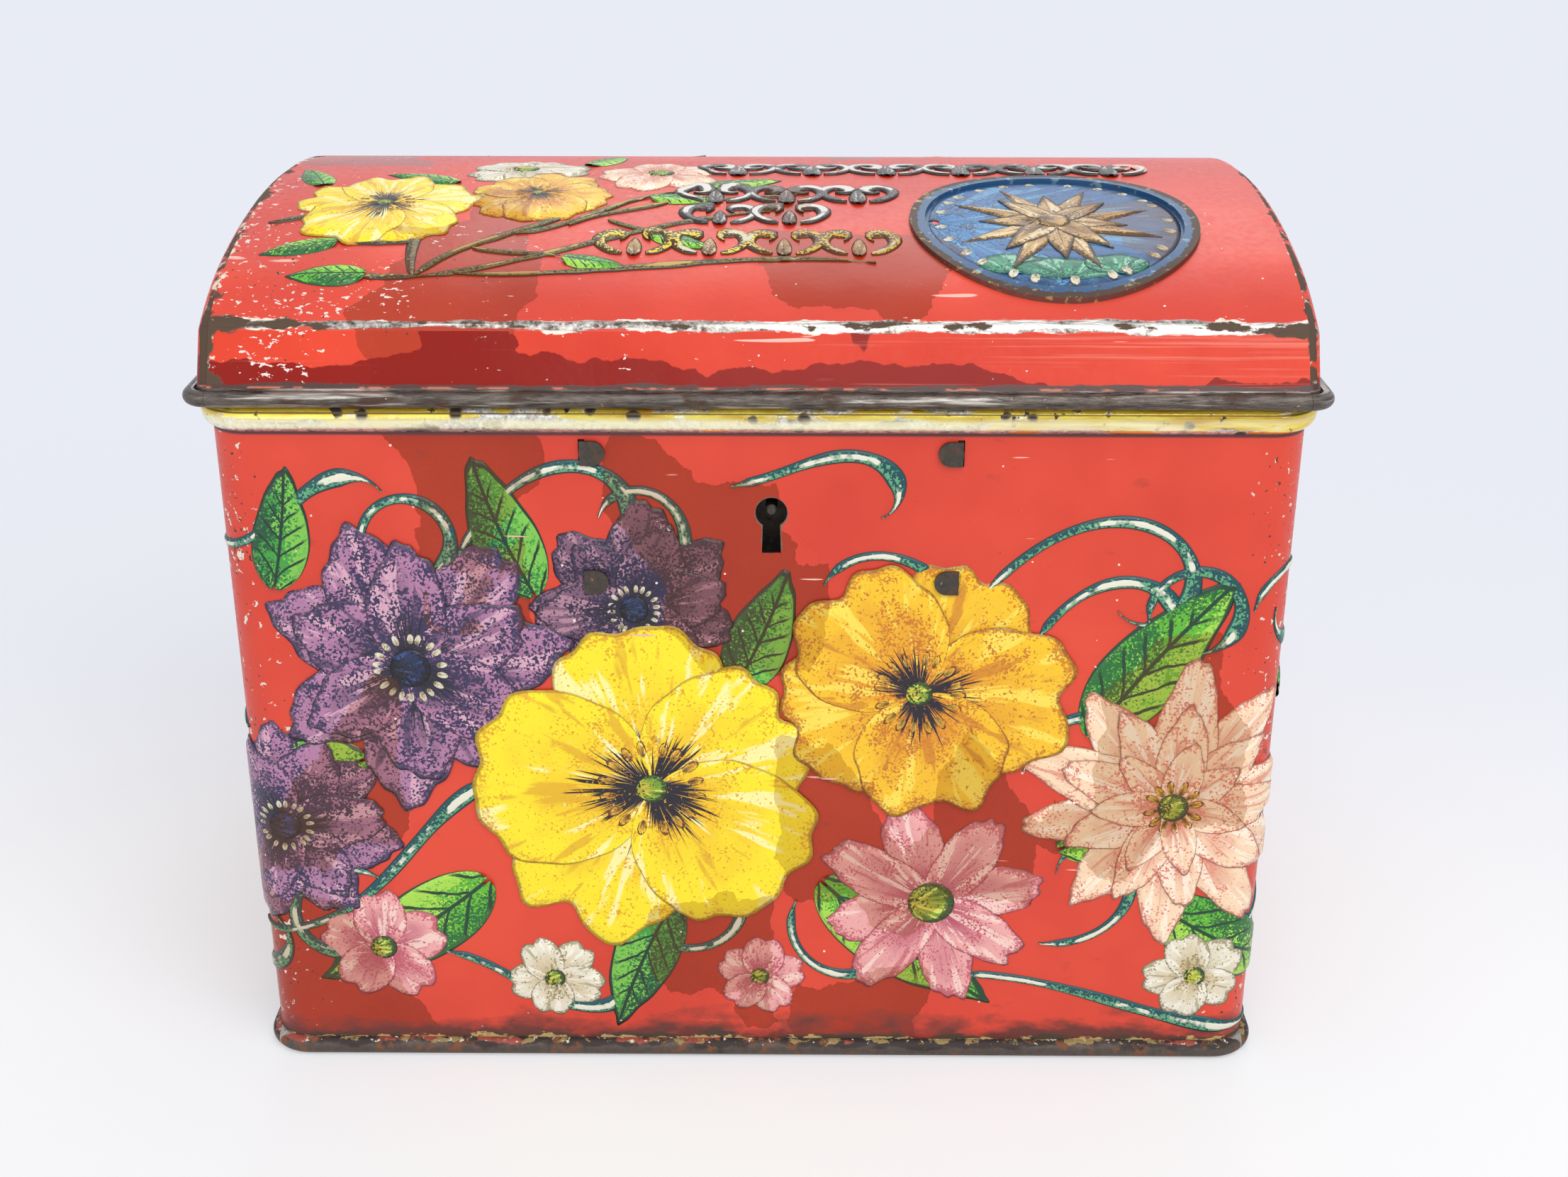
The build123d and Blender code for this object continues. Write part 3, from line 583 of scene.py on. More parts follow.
# %% Lid shell
lid_tin, t = new_finish("lithographed_tinplate_lid")
point, x, y, z = spot(t)
from_edge = add(t, "Math SUBTRACT", LID_EDGE + 1.2, add(t, "Math ABSOLUTE", x))
top = lid_coats(t, point, x, y, z, from_edge)
aside = add(t, "VectorMath SUBTRACT", add(t, "CombineXYZ", x, y), (MEDAL_X, MEDAL_Y, 0))
from_medal = add(t, "VectorMath LENGTH", aside, out=1)
upper = add(t, "Math LESS_THAN", y, 0.0)
on_ring = product(t, upper, between(t, from_medal, MEDAL_IN - 1.2, MEDAL_OUT + 0.1, 0.15))
ring = flecked(t, coat("#1F4F78", 0.35), coat("#8FA9B4", 0.4, metal=0.5), point, 2.4, 0.62, 0.05, shift=3.3)
brown_edge = add(t, "MapRange", from_medal, MEDAL_OUT - 1.5, MEDAL_OUT - 0.7, -0.1, 0.4)
edge_shade = flecked(
    t, coat("#4A382D", 0.5, metal=0.4), coat("#A98F5A", 0.4, metal=0.6), point, 1.8, 0.62, 0.04, shift=2.3
)
ring = flecked(t, ring, edge_shade, point, 2.0, 0.60, 0.04, grain=3, shift=6.3, push=brown_edge)
top = cover(t, top, ring, on_ring)
from_core = add(t, "VectorMath SUBTRACT", point, (0, 0, SHELL_CORE))
from_core = add(t, "VectorMath MULTIPLY", from_core, (0, 1, 1))
outside = looks_out(t, from_core)[1]
radial = add(t, "VectorMath DOT_PRODUCT", add(t, "TexCoord", out=1), aside, out=1)
off_ridge = add(t, "Math SUBTRACT", from_medal, (MEDAL_IN + MEDAL_OUT) / 2)
groove = add(t, "Math LESS_THAN", add(t, "Math MULTIPLY", radial, off_ridge), -12.0)
groove = product(t, groove, between(t, from_medal, MEDAL_IN - 0.5, MEDAL_OUT + 0.5, 0.1))
outside = add(t, "Math SUBTRACT", outside, groove, use_clamp=True)
harden(t, rim_and_inside(t, point, z, top, outside))

# %% [markdown]
# The two ends are flat panels with a rounded edge. How squarely a face looks sideways tells how far it is
# from that edge, and so where the arch has rusted.

# %% Lid ends
end_tin, t = new_finish("lithographed_tinplate_lid_ends")
point, x, y, z = spot(t)
facing_out = add(t, "Math ABSOLUTE", add(t, "SeparateXYZ", add(t, "TexCoord", out=1)))
from_edge = add(t, "MapRange", facing_out, 0.45, 0.998, 0.0, 7.0)
top = lid_coats(t, point, x, y, z, from_edge)
rounded = add(t, "MapRange", facing_out, 0.55, 0.995, 0.06, -0.2)
top = flecked(t, top, coat("#54402F", 0.65, metal=0.3), point, 2.2, 0.56, 0.04, shift=2.4, push=rounded)
from_core = add(t, "VectorMath SUBTRACT", point, (0, 0, END_CORE))
harden(t, rim_and_inside(t, point, z, top, looks_out(t, from_core)[1]))

# %% [markdown]
# The small parts are plain metal. The foot bead and the rim are the same tinplate gone brown, and the panel
# inside the bead is bare like the walls' inner side. The lock is dark pressed steel that shows bright only
# where it rubs, and the rim wire and the hinge straps are in between.

# %% Foot, wire, hinges and lock
foot_tin, t = new_finish("rusted_tinplate_foot")
point, x, y, z = spot(t)
panel = product(t, between(t, x, 0.6 - WALL_X, WALL_X - 0.6, 0.1), between(t, y, 0.6 - WALL_Y, WALL_Y - 0.6, 0.1))
harden(t, cover(t, rusted_foot(t, point, z), bare_tin(t, point), panel))

lock_steel, t = new_finish("pressed_steel_lock")
point = spot(t)[0]
shade, tone = mottled(t, point, "#1E1B19", "#6A6158", 0.9, 5.0, 0.75)
steel = coat(shade, 0.48, metal=0.7, raised=add(t, "Math MULTIPLY", tone, 0.06))
rust_and_rubs = (
    (coat("#5A4030", 0.75, metal=0.2), 1.8, 0.58, 0.04, 3, EVEN, 7.0),
    (coat("#A59F96", 0.35, metal=1.0), 1.2, 0.72, 0.03, 2, (1, 1, 0.4), 2.0),
)
harden(t, flecked_by(t, steel, point, rust_and_rubs))

iron_wire, t = new_finish("drawn_iron_wire")
point = spot(t)[0]
shade, tone = mottled(t, point, "#4A423B", "#8C857C", 0.8, 3.0)
harden(t, coat(shade, 0.42, metal=0.9, raised=add(t, "Math MULTIPLY", tone, 0.03)))

hinge_tin, t = new_finish("soldered_tin_strap")
point = spot(t)[0]
harden(t, flecked(t, bare_tin(t, point), rolled_rim(t, point), point, 5, 0.47, 0.05, grain=3))

FINISHES = {
    "body_wall": tinplate,
    "lid_shell": lid_tin,
    "lid_end_left": end_tin,
    "lid_end_right": end_tin,
    "bottom_plate": foot_tin,
    "lid_rim_wire": iron_wire,
    "hinge_loop_left": hinge_tin,
    "hinge_loop_right": hinge_tin,
}
for name, node in nodes.items():
    finish = FINISHES.get(name, lock_steel)
    node.data.materials.clear()
    node.data.materials.append(finish)
    print(name, "is finished in", finish.name)

# %% [markdown]
# The decoration is printed flat and then embossed: each flower stands about half a millimetre proud.
# It could be one picture on a displaced wall, but then every outline would be as coarse as the mesh. Here
# each petal, leaf and stem is a thin skin of its own that follows the sheet, so its edge is always sharp, and
# its ink is worked out from where a point lies in the petal. Two charts turn flat places into places on the
# tin: the wall's chart runs round the corners, the lid's follows the dome.

# %% Charts of the wall and the dome
CORNER = 6.0
RIDGE_RISE = 0.65
CREST = lid_high.z / MM - RIDGE_RISE
DOME_EDGE = BEND_Y - 0.8
CROWN_R, CROWN_Y = 152.0, 37.0
STRAIGHT_X = WALL_X - CORNER
STRAIGHT_Y = WALL_Y - CORNER
ARC = CORNER * math.pi / 2
SIDE_START = STRAIGHT_X + ARC
BACK_START = SIDE_START + 2 * STRAIGHT_Y + ARC
BACK_MIDDLE = BACK_START + STRAIGHT_X


def on_wall(s, z, lift):
    """A point s mm round the wall from the front's middle, z mm up, lifted off the wall."""
    side = np.sign(s) + (s == 0)
    a = np.abs(s)
    arc_1 = np.clip((a - STRAIGHT_X) / CORNER, 0, math.pi / 2)
    arc_2 = np.clip((a - SIDE_START - 2 * STRAIGHT_Y) / CORNER, 0, math.pi / 2)
    turned = arc_1 + arc_2
    run_side = np.clip(a - SIDE_START, 0, 2 * STRAIGHT_Y)
    run_back = np.maximum(a - BACK_START, 0)
    x = np.minimum(a, STRAIGHT_X) + CORNER * np.sin(arc_1) - CORNER * (1 - np.cos(arc_2)) - run_back
    y = -WALL_Y + CORNER * (1 - np.cos(arc_1)) + run_side + CORNER * np.sin(arc_2)
    x = x + lift * np.sin(turned)
    y = y - lift * np.cos(turned)
    return np.stack([side * x, y, z + 0 * s], -1) * MM


slope = CROWN_Y / math.sqrt(CROWN_R**2 - CROWN_Y**2)
crown_edge = CREST - CROWN_R + math.sqrt(CROWN_R**2 - CROWN_Y**2)
chord = np.array([BEND_Y - CROWN_Y, BEND_Z - crown_edge])
inward = -np.array([slope, 1.0]) / math.hypot(slope, 1)
SHOULDER_R = float(chord @ chord / (2 * chord @ inward))
shoulder_centre = np.array([CROWN_Y, crown_edge]) + SHOULDER_R * inward
print("dome crest", round(CREST, 2), "shoulder radius", round(SHOULDER_R, 1), "centre", shoulder_centre.round(1))


def on_lid(x, y, lift):
    """A point of the dome above (x, y), lifted off it."""
    a = np.minimum(np.abs(y), DOME_EDGE)
    crown = a < CROWN_Y
    centre_y = np.where(crown, 0.0, shoulder_centre[0])
    centre_z = np.where(crown, CREST - CROWN_R, shoulder_centre[1])
    radius = np.where(crown, CROWN_R, SHOULDER_R)
    out = np.clip((a - centre_y) / radius, -1, 1)
    rise = np.sqrt(1 - out**2)
    side = np.sign(y)
    return np.stack(
        [x + 0 * y, side * (centre_y + (radius + lift) * out), centre_z + (radius + lift) * rise], -1
    ) * MM


# %% [markdown]
# A petal or a leaf is an egg-shaped outline seen from its root. `Outline` keeps that outline as a distance
# for each direction, so the same numbers make its mesh and tell how far any place on the tin is raised. The
# outline leaves a narrow gap at the root (`ROOT_GAP`), and the embossing rises over `SLOPE` millimetres.

# %% Outlines of petals and leaves
POINTS_PER_MM = 1.5
ROOT_GAP = 0.93
NOTCH_WIDTH = 0.28
SLOPE = 2.4


class Outline:
    def __init__(
        self, chart, root, heading, length, breadth, notch=0.0, ruffle=0.0, point=0.0, bend=0.0, height=0.5, seed=0.0
    ):
        self.chart, self.root, self.heading = chart, np.array(root, float), math.radians(heading)
        self.length, self.breadth, self.bend, self.height, self.seed = length, breadth, bend, height, seed
        number = int(max(15, (length + breadth) * POINTS_PER_MM)) | 1
        turn = np.linspace(-ROOT_GAP * math.pi, ROOT_GAP * math.pi, number)
        along = length / 2 * (1 + np.cos(turn))
        across = breadth / 2 * np.sin(turn) * (1 - point * ((1 + np.cos(turn)) / 2) ** 2)
        edge = 1 - notch * np.exp(-((turn / NOTCH_WIDTH) ** 2))
        edge += ruffle * (np.sin(turn * 5 + seed * 9) + 0.6 * np.sin(turn * 11 + seed * 23)) * np.cos(turn / 2)
        self.share = turn / math.pi
        self.angle = np.arctan2(across, along)
        self.reach = np.hypot(along, across) * edge

    def place(self, r, angle):
        a, b = r * np.cos(angle), r * np.sin(angle)
        b = b + self.bend * a * a
        c, s = math.cos(self.heading), math.sin(self.heading)
        return self.root[0] + a * c - b * s, self.root[1] + a * s + b * c

    def raised(self, p, q):
        dp, dq = p - self.root[0], q - self.root[1]
        c, s = math.cos(self.heading), math.sin(self.heading)
        a, b = dp * c + dq * s, dq * c - dp * s
        b = b - self.bend * a * a
        r, angle = np.hypot(a, b), np.arctan2(b, a)
        limit = np.interp(angle, self.angle, self.reach, left=0, right=0)
        inside = np.clip((limit - r) / min(SLOPE, 0.22 * self.length), 0, 1)
        root = np.clip(1.5 - r / 1.5, 0, 1)
        inside = np.maximum(inside, root)
        return self.height * inside * inside * (3 - 2 * inside)


# %% [markdown]
# Every skin is collected by its ink first. When all are known, each point is lifted by the tallest embossing
# under it plus about a hundredth for each layer below it, so that later ink lies over earlier ink. The last row
# of each outline is tucked into the sheet. Near the keyhole and the lock's tabs the sheet stays flat.

# %% Collecting the skins
skins = {}
embossings = {"wall": [], "lid": []}
covered = {"wall": [], "lid": []}
LAYER_LIFT = 0.012
PETAL_PITCH, STEM_PITCH = 0.85, 0.9
TAB_X, TAB_ZS = 26.5, (107.2, 86.5)
FLAT_SPOTS = [(KEY_X, KEY_Z - 2, 7.0)] + [(KEY_X + sx * TAB_X, tz, 4.0) for sx in (-1, 1) for tz in TAB_ZS]


def keep(ink, chart, p, q, info, tuck, extra=0.0):
    """Files a grid of places (p, q) under its ink, with five numbers a point for the shader.
    Its layer is one above the highest skin that it overlaps."""
    here = (p.min(), p.max(), q.min(), q.max())
    below = [c[4] for c in covered[chart] if here[0] < c[1] and here[1] > c[0] and here[2] < c[3] and here[3] > c[2]]
    number = max(below, default=0) + 1
    covered[chart].append((*here, number))
    skins.setdefault((ink, chart), []).append((p, q, info, tuck, extra, number, len(embossings[chart])))


def lay_outline(ink, shape):
    """The skin of a petal or leaf: rows run from the root outwards."""
    embossings[shape.chart].append(shape)
    rows = max(6, int(shape.length / PETAL_PITCH))
    part = np.concatenate([np.linspace(0.03, 1, rows) ** 0.9, [1.0]])
    r = part[:, None] * shape.reach[None, :]
    p, q = shape.place(r, np.broadcast_to(shape.angle, r.shape))
    along = r * np.cos(shape.angle) / shape.length
    across = r * np.sin(shape.angle) / (shape.breadth / 2)
    info = np.stack(np.broadcast_arrays(shape.share[None, :], part[:, None], shape.seed, along, across), -1)
    tuck = np.zeros_like(r)
    tuck[-1] = 1
    keep(ink, shape.chart, p, q, info, tuck)


def lay_strip(ink, chart, line, widths, height, seed=0.0):
    """The skin of a stem: a low rounded ridge along a line."""
    step = np.gradient(line, axis=0)
    step /= np.linalg.norm(step, axis=1)[:, None]
    normal = np.stack([-step[:, 1], step[:, 0]], -1)
    ridge = np.array([-1, -1, -0.6, 0, 0.6, 1, 1.0])
    lift = np.array([0, 0.15, 0.8, 1, 0.8, 0.15, 0]) * height
    places = line[:, None, :] + normal[:, None, :] * (ridge[None, :] * widths[:, None])[..., None]
    run = np.concatenate([[0], np.cumsum(np.linalg.norm(np.diff(line, axis=0), axis=1))])
    info = np.stack(np.broadcast_arrays(run[:, None], ridge[None, :], seed, run[:, None], ridge[None, :]), -1)
    tuck = np.broadcast_to(np.array([1, 0, 0, 0, 0, 0, 1.0]), places.shape[:2])
    extra = np.broadcast_to(lift, places.shape[:2])
    keep(ink, chart, places[..., 0], places[..., 1], info, tuck, extra)


def scroll(start, heading, length, bend_start, bend_end, thick=1.1, taper=0.35, drop=0.8):
    """The line and half widths of a tendril whose bend, in turns per 100 mm, grows along it."""
    count = int(length / STEM_PITCH) + 2
    along = np.linspace(0, 1, count)
    bend = (bend_start + (bend_end - bend_start) * along**1.6) * 2 * math.pi / 100
    direction = math.radians(heading) + np.concatenate([[0], np.cumsum(bend[1:] * length / (count - 1))])
    steps = np.stack([np.cos(direction), np.sin(direction)], -1) * length / (count - 1)
    line = np.array(start) + np.concatenate([[[0, 0]], np.cumsum(steps[:-1], axis=0)])
    belly = 0.8 + 0.4 * np.exp(-(((along - 0.5) / 0.15) ** 2)) - taper * 0.5 * along
    bud = drop * np.exp(-(((along - 0.78) / 0.13) ** 2))
    widths = thick / 2 * (belly + bud) * np.clip((1 - along) * 5, 0.12, 1) * np.clip(along * 12, 0.25, 1)
    return line, widths


# %% [markdown]
# Chromolithography prints tone with dots and fine lines of a few inks. `petal_ink` does the same: a petal has a
# root colour that runs into its tip colour, streaks from root to tip, stippled shade on one side, whiskers
# that leave the root, and a thin key line round its outline. On old stones the shade isn't dots but a web of
# short curved strokes. Noise of a single grain size, cut at its middle level, gives such a web, and another
# level gives its dots or its holes. It is 0.6 mm wide, a little coarser than on a real tin, so that it shows.

# %% Petal ink
HATCH = 0.6


def stipple(t, point, tone, soft=0.05):
    """A web of strokes about one `HATCH` apart that closes up as the tone, from 0 to 1, grows darker."""
    grain = add(t, "TexNoise", Vector=point, Scale=1.5 / HATCH, Detail=0.0, Distortion=0.6)
    level = add(t, "MapRange", tone, 0.0, 1.0, -0.26, 0.3)
    return add(t, "MapRange", add(t, "Math ADD", grain, level), 0.5 - soft, 0.5 + soft)


def stored(t, name):
    """The three numbers that a skin stores on its points under this name."""
    return add(t, "SeparateXYZ", add(t, "Attribute", out=1, attribute_name=name)).node.outputs


def petal_ink(
    name, root, tip, light, shade, line, whisker=0.0, hair="#1E1826", ribs=10.0, tone_push=0.0, edge_line=0.972,
    rim=0.5,
):
    material, t = new_finish(name)
    point = spot(t)[0]
    across, out, seed = stored(t, "petal")
    seeded = add(t, "Math MULTIPLY", seed, 37.0)
    wave = add(t, "TexNoise", Vector=point, Scale=0.16, Detail=2.0)
    grow = add(t, "Math MULTIPLY_ADD", wave, 0.9, out)
    grow = add(t, "MapRange", grow, 0.62, 1.25)
    base = lay_colour(t, grow, root, tip)
    fan = add(t, "CombineXYZ", add(t, "Math MULTIPLY", across, ribs), add(t, "Math MULTIPLY", out, 1.1), seeded)
    ribbed = add(t, "TexNoise", Vector=fan, Scale=1.0, Detail=3.0, Roughness=0.6)
    pale = add(t, "MapRange", ribbed, 0.54, 0.58)
    base = lay_colour(t, pale, base, light, share=0.75)
    side = add(t, "Math MULTIPLY_ADD", add(t, "Math ABSOLUTE", across), 0.35, tone_push)
    tone = add(t, "Math ADD", add(t, "Math MULTIPLY_ADD", out, -0.62, 0.62), side)
    blot = add(t, "TexNoise", Vector=point, Scale=0.22, Detail=3.0, Roughness=0.65)
    tone = add(t, "Math ADD", tone, add(t, "MapRange", blot, 0.3, 0.7, -0.35, 0.35))
    base = lay_colour(t, stipple(t, point, tone), base, shade)
    darker = add(t, "MapRange", ribbed, 0.40, 0.36)
    base = lay_colour(t, darker, base, shade, share=0.7)
    if whisker:
        fine = add(t, "CombineXYZ", add(t, "Math MULTIPLY", across, 26.0), seeded)
        strand = add(t, "TexNoise", Vector=fine, Scale=1.0, Detail=2.0, Roughness=0.7)
        length = add(t, "MapRange", strand, 0.3, 0.7, 0.1, whisker)
        hairs = add(t, "MapRange", add(t, "Math SUBTRACT", length, out), -0.01, 0.02)
        base = lay_colour(t, hairs, base, hair)
    rim_tone = add(t, "MapRange", out, edge_line - 0.2, edge_line, -0.2, 0.5 + rim)
    rim_tone = add(t, "Math ADD", rim_tone, add(t, "MapRange", blot, 0.35, 0.65, -0.5, 0.1))
    base = lay_colour(t, stipple(t, point, rim_tone), base, shade, share=0.85)
    key_line = add(t, "MapRange", out, edge_line, edge_line + 0.01)
    base = lay_colour(t, key_line, base, line, share=0.6)
    folds = add(t, "Math MULTIPLY", ribbed, 0.35)
    top = age(t, coat(base, 0.34, raised=folds), point, chips=0.012)
    harden(t, top)
    return material


# %% [markdown]
# A leaf has a dark and a light half, a middle rib, and side veins that curve towards the tip. A stem is a
# rounded ridge, lit on one side, with its ink chipped off the crest.

# %% Leaf and stem ink
def leaf_ink(name, dark, middle, light, line):
    material, t = new_finish(name)
    point = spot(t)[0]
    out = stored(t, "petal")[1]
    along, aside, _ = stored(t, "local")
    spread = add(t, "Math ABSOLUTE", aside)
    blot = add(t, "TexNoise", Vector=point, Scale=0.2, Detail=3.0)
    tone = add(t, "Math MULTIPLY_ADD", aside, 0.28, blot)
    moved = add(t, "VectorMath", point, (40, 9, 23))
    shaded = stipple(t, moved, add(t, "MapRange", tone, 0.28, 0.8))
    base = lay_colour(t, shaded, middle, dark)
    lit = add(t, "Math MULTIPLY_ADD", aside, -0.45, blot)
    lit = stipple(t, point, add(t, "MapRange", lit, 0.35, 0.95))
    base = lay_colour(t, lit, base, light)
    row = add(t, "Math MULTIPLY_ADD", add(t, "Math POWER", spread, 0.8), -0.26, along)
    row = add(t, "Math MULTIPLY_ADD", blot, 0.10, row)
    row = add(t, "Math FRACT", add(t, "Math DIVIDE", row, 0.15))
    vein = add(t, "Math ABSOLUTE", add(t, "Math SUBTRACT", row, 0.5))
    veins = product(t, add(t, "MapRange", vein, 0.40, 0.44), add(t, "MapRange", out, 0.97, 0.8))
    rib = add(t, "MapRange", spread, 0.055, 0.035)
    key_line = add(t, "MapRange", out, 0.94, 0.955)
    base = lay_colour(t, greatest(t, veins, rib, key_line), base, line)
    relief = add(t, "Math MULTIPLY", greatest(t, veins, rib), -0.05)
    harden(t, age(t, coat(base, 0.34, raised=relief), point, chips=0.02))
    return material


def stem_ink(name, dark, middle, chipped, share=0.6):
    material, t = new_finish(name)
    point = spot(t)[0]
    across = stored(t, "petal")[1]
    spread = add(t, "Math ABSOLUTE", across)
    lit = stipple(t, point, add(t, "MapRange", across, -1.0, 0.8, 0.72, 0.1))
    base = lay_colour(t, lit, dark, middle)
    base = lay_colour(t, add(t, "MapRange", spread, 0.7, 0.8), base, dark)
    ink = coat(base, 0.36)
    bald = coat(chipped, 0.55, raised=-0.03)
    middle_only = add(t, "MapRange", spread, 0.3, 0.95, 0.1, -0.25)
    ink = flecked(t, ink, bald, point, 9, share, 0.02, shift=12.0, push=middle_only)
    harden(t, age(t, ink, point, chips=0.02))
    return material


# %% [markdown]
# These are all the inks of this tin. A printed piece is named after its ink and the sheet that it lies on.

# %% All inks
INKS = {
    "leaf": leaf_ink("leaf_green_ink", "#1F6B2E", "#5FB52F", "#A6D84A", "#123F26"),
    "deep_leaf": leaf_ink("deep_leaf_ink", "#14502F", "#3C9A3A", "#7CC24A", "#0D3323"),
    "tendril": stem_ink("teal_tendril_ink", "#0F4A50", "#5FA878", "#E6E2CE", share=0.60),
    "twig": stem_ink("olive_twig_ink", "#3E2E1E", "#7E7A34", "#C9A45A", share=0.64),
    "dark_scroll": stem_ink("dark_scroll_ink", "#2A221E", "#6E665E", "#E2DED4", share=0.60),
    "gold_scroll": stem_ink("gold_scroll_ink", "#4A3216", "#F2D43A", "#D9D2B8", share=0.68),
}
# Each petal ink has its colours of root, tip, light, shade and key line, and then its own settings.
for ink, codes, settings in (
    ("yellow_rose", "#F3C01C #FBE51E #FDF7B4 #E0A41C #8A5A14", dict(whisker=0.5, ribs=7, tone_push=-0.3, rim=0.0)),
    ("orange_rose", "#E08C1C #F6C21E #FBE45A #C9781C #6A3210", dict(whisker=0.46, ribs=7, tone_push=-0.15, rim=0.2)),
    ("violet_anemone", "#2A2140 #B07A9C #E4B2C2 #352C50 #1B1530", dict(whisker=0.6, ribs=5, tone_push=0.16)),
    ("plum_anemone", "#231B33 #7E566C #BC8C9C #2A2140 #17111F", dict(whisker=0.6, ribs=5, tone_push=0.2)),
    ("pink_cosmos", "#B8506A #EBA8A4 #F8DACB #C25A68 #5A1F33", dict(ribs=6, tone_push=-0.12)),
    (
        "peach_dahlia", "#D9745E #F8D8B4 #FDF0DA #DE8470 #7A3226",
        dict(whisker=0.3, hair="#9A3A34", ribs=6, tone_push=-0.12, rim=0.2),
    ),
    ("white_blossom", "#C9B07E #E9E2CC #F8F3E2 #9A8E66 #4B4A3A", dict(ribs=6, tone_push=-0.25)),
    ("flower_eye", "#D8C832 #6E9A2C #F2EC6A #2E4A1C #1B2A14", dict(tone_push=-0.1, edge_line=0.86)),
    ("stamen", "#6A3A12 #F2B428 #FBE27A #8A4212 #3A1E10", dict(tone_push=-0.4, edge_line=0.9)),
    ("midnight_eye", "#141226 #20305A #35508A #0C0B18 #08070F", dict(edge_line=0.9)),
    ("scroll_bud", "#4A413A #6E645A #E2DED4 #2A221E #1E1815", dict(ribs=4, tone_push=-0.1, edge_line=0.85)),
    ("medal_blue", "#2476B2 #1B578C #5F9FC6 #143A5E #0E2238", dict(ribs=9, tone_push=-0.25, edge_line=0.985)),
    ("medal_green", "#4AA57A #2A7A5E #9AD0AC #17584A #143A30", dict(tone_push=-0.1, edge_line=0.99)),
    ("star_gilt", "#7A5A34 #C29A5C #EBD6A8 #5E452A #241A12", dict(ribs=3, tone_push=-0.25, edge_line=0.9)),
):
    material_name = ink.replace("medal_", "medallion_") + "_ink"
    INKS[ink] = petal_ink(material_name, *codes.split(), **settings)
print(len(INKS), "printing inks")

# %% [markdown]
# A blossom is a few rings of petals round an eye. Each kind has its own petal shape: heart-shaped for the
# rock rose, narrow and pointed for the anemone, blunt and toothed for the cosmos, and three rings of lances
# for the dahlia. A seeded random generator makes no two petals quite alike.

# %% Blossoms
pick = np.random.default_rng(20)


def ring(ink, chart, centre, number, turn, length, breadth, start=0.0, **form):
    """One ring of petals round a centre, each a little different, in an order that overlaps them."""
    order = list(range(0, number, 2)) + list(range(1, number, 2))
    for k in order:
        heading = turn + 360 * k / number + pick.uniform(-5, 5)
        root = np.array(centre) + start * np.array([math.cos(math.radians(heading)), math.sin(math.radians(heading))])
        size = length * pick.uniform(0.92, 1.06)
        lay_outline(
            ink, Outline(chart, root, heading, size, breadth * pick.uniform(0.92, 1.08), seed=pick.uniform(), **form)
        )


def eye(chart, centre, radius, ink="flower_eye"):
    """A round button: an outline as broad as it is long, rooted at its edge."""
    lay_outline(
        ink,
        Outline(chart, (centre[0] - radius, centre[1]), 0, 2 * radius, 2 * radius, seed=pick.uniform(), height=0.62),
    )


def rock_rose(chart, centre, radius, turn, ink="yellow_rose"):
    ring(ink, chart, centre, 5, turn, radius, radius * 1.0, notch=0.13, ruffle=0.035)
    ring("stamen", chart, centre, 16, turn, radius * 0.1, radius * 0.05, start=radius * 0.2, height=0.56)
    eye(chart, centre, radius * 0.085)


def anemone(chart, centre, radius, turn, ink="violet_anemone"):
    ring(ink, chart, centre, 7, turn + 25, radius, radius * 0.66, ruffle=0.03, point=0.25)
    ring(ink, chart, centre, 6, turn, radius * 0.84, radius * 0.58, ruffle=0.03, point=0.25)
    ring("white_blossom", chart, centre, 18, turn, radius * 0.075, radius * 0.04, start=radius * 0.17, height=0.5)
    eye(chart, centre, radius * 0.13, "midnight_eye")


def cosmos(chart, centre, radius, turn, ink="pink_cosmos"):
    ring(ink, chart, centre, 8, turn, radius, radius * 0.5, ruffle=0.03, notch=0.06)
    eye(chart, centre, radius * 0.2)


def dahlia(chart, centre, radius, turn, ink="peach_dahlia"):
    for number, share, broad in ((10, 1.0, 0.44), (9, 0.76, 0.36), (7, 0.5, 0.26)):
        ring(ink, chart, centre, number, turn + 40 * share, radius * share, radius * broad, point=0.4, ruffle=0.02)
    ring("stamen", chart, centre, 12, turn, radius * 0.1, radius * 0.05, start=radius * 0.1, height=0.56)
    eye(chart, centre, radius * 0.1)


def small_blossom(chart, centre, radius, turn, ink="white_blossom"):
    ring(ink, chart, centre, 5, turn, radius, radius * 0.86, notch=0.14, height=0.4)
    eye(chart, centre, radius * 0.2)


def leaf(chart, root, heading, length, breadth, bend=0.003, ink="leaf"):
    form = dict(ruffle=0.014, point=0.6, bend=bend, seed=pick.uniform(), height=0.42)
    lay_outline(ink, Outline(chart, root, heading, length, breadth, **form))


def tendril(chart, start, heading, length, bend_start, bend_end, thick=1.9, ink="tendril"):
    line, widths = scroll(start, heading, length, bend_start, bend_end, thick, drop=0.3 if ink == "twig" else 0.9)
    if ink == "twig":
        knots = np.interp(
            np.arange(len(widths)), np.arange(0, len(widths), 3),
            pick.uniform(0.8, 1.3, len(range(0, len(widths), 3))),
        )
        widths = widths * knots
    lay_strip(ink, chart, line, widths, 0.32, pick.uniform())


# %% [markdown]
# The front carries a garland: tendrils first, then leaves, then blossoms from small to large, as a printer
# lays the inks. Each table below has a shape in a row: its place in the chart and its heading, then its sizes
# and bends in the order that the shape's own function asks for.

# %% Garland on the front
def lay(shape, chart, rows, middle=0.0, **form):
    """Lays one shape for each row, its place counted from `middle`."""
    for s, q, *rest in rows:
        shape(chart, (middle + s, q), *rest, **form)


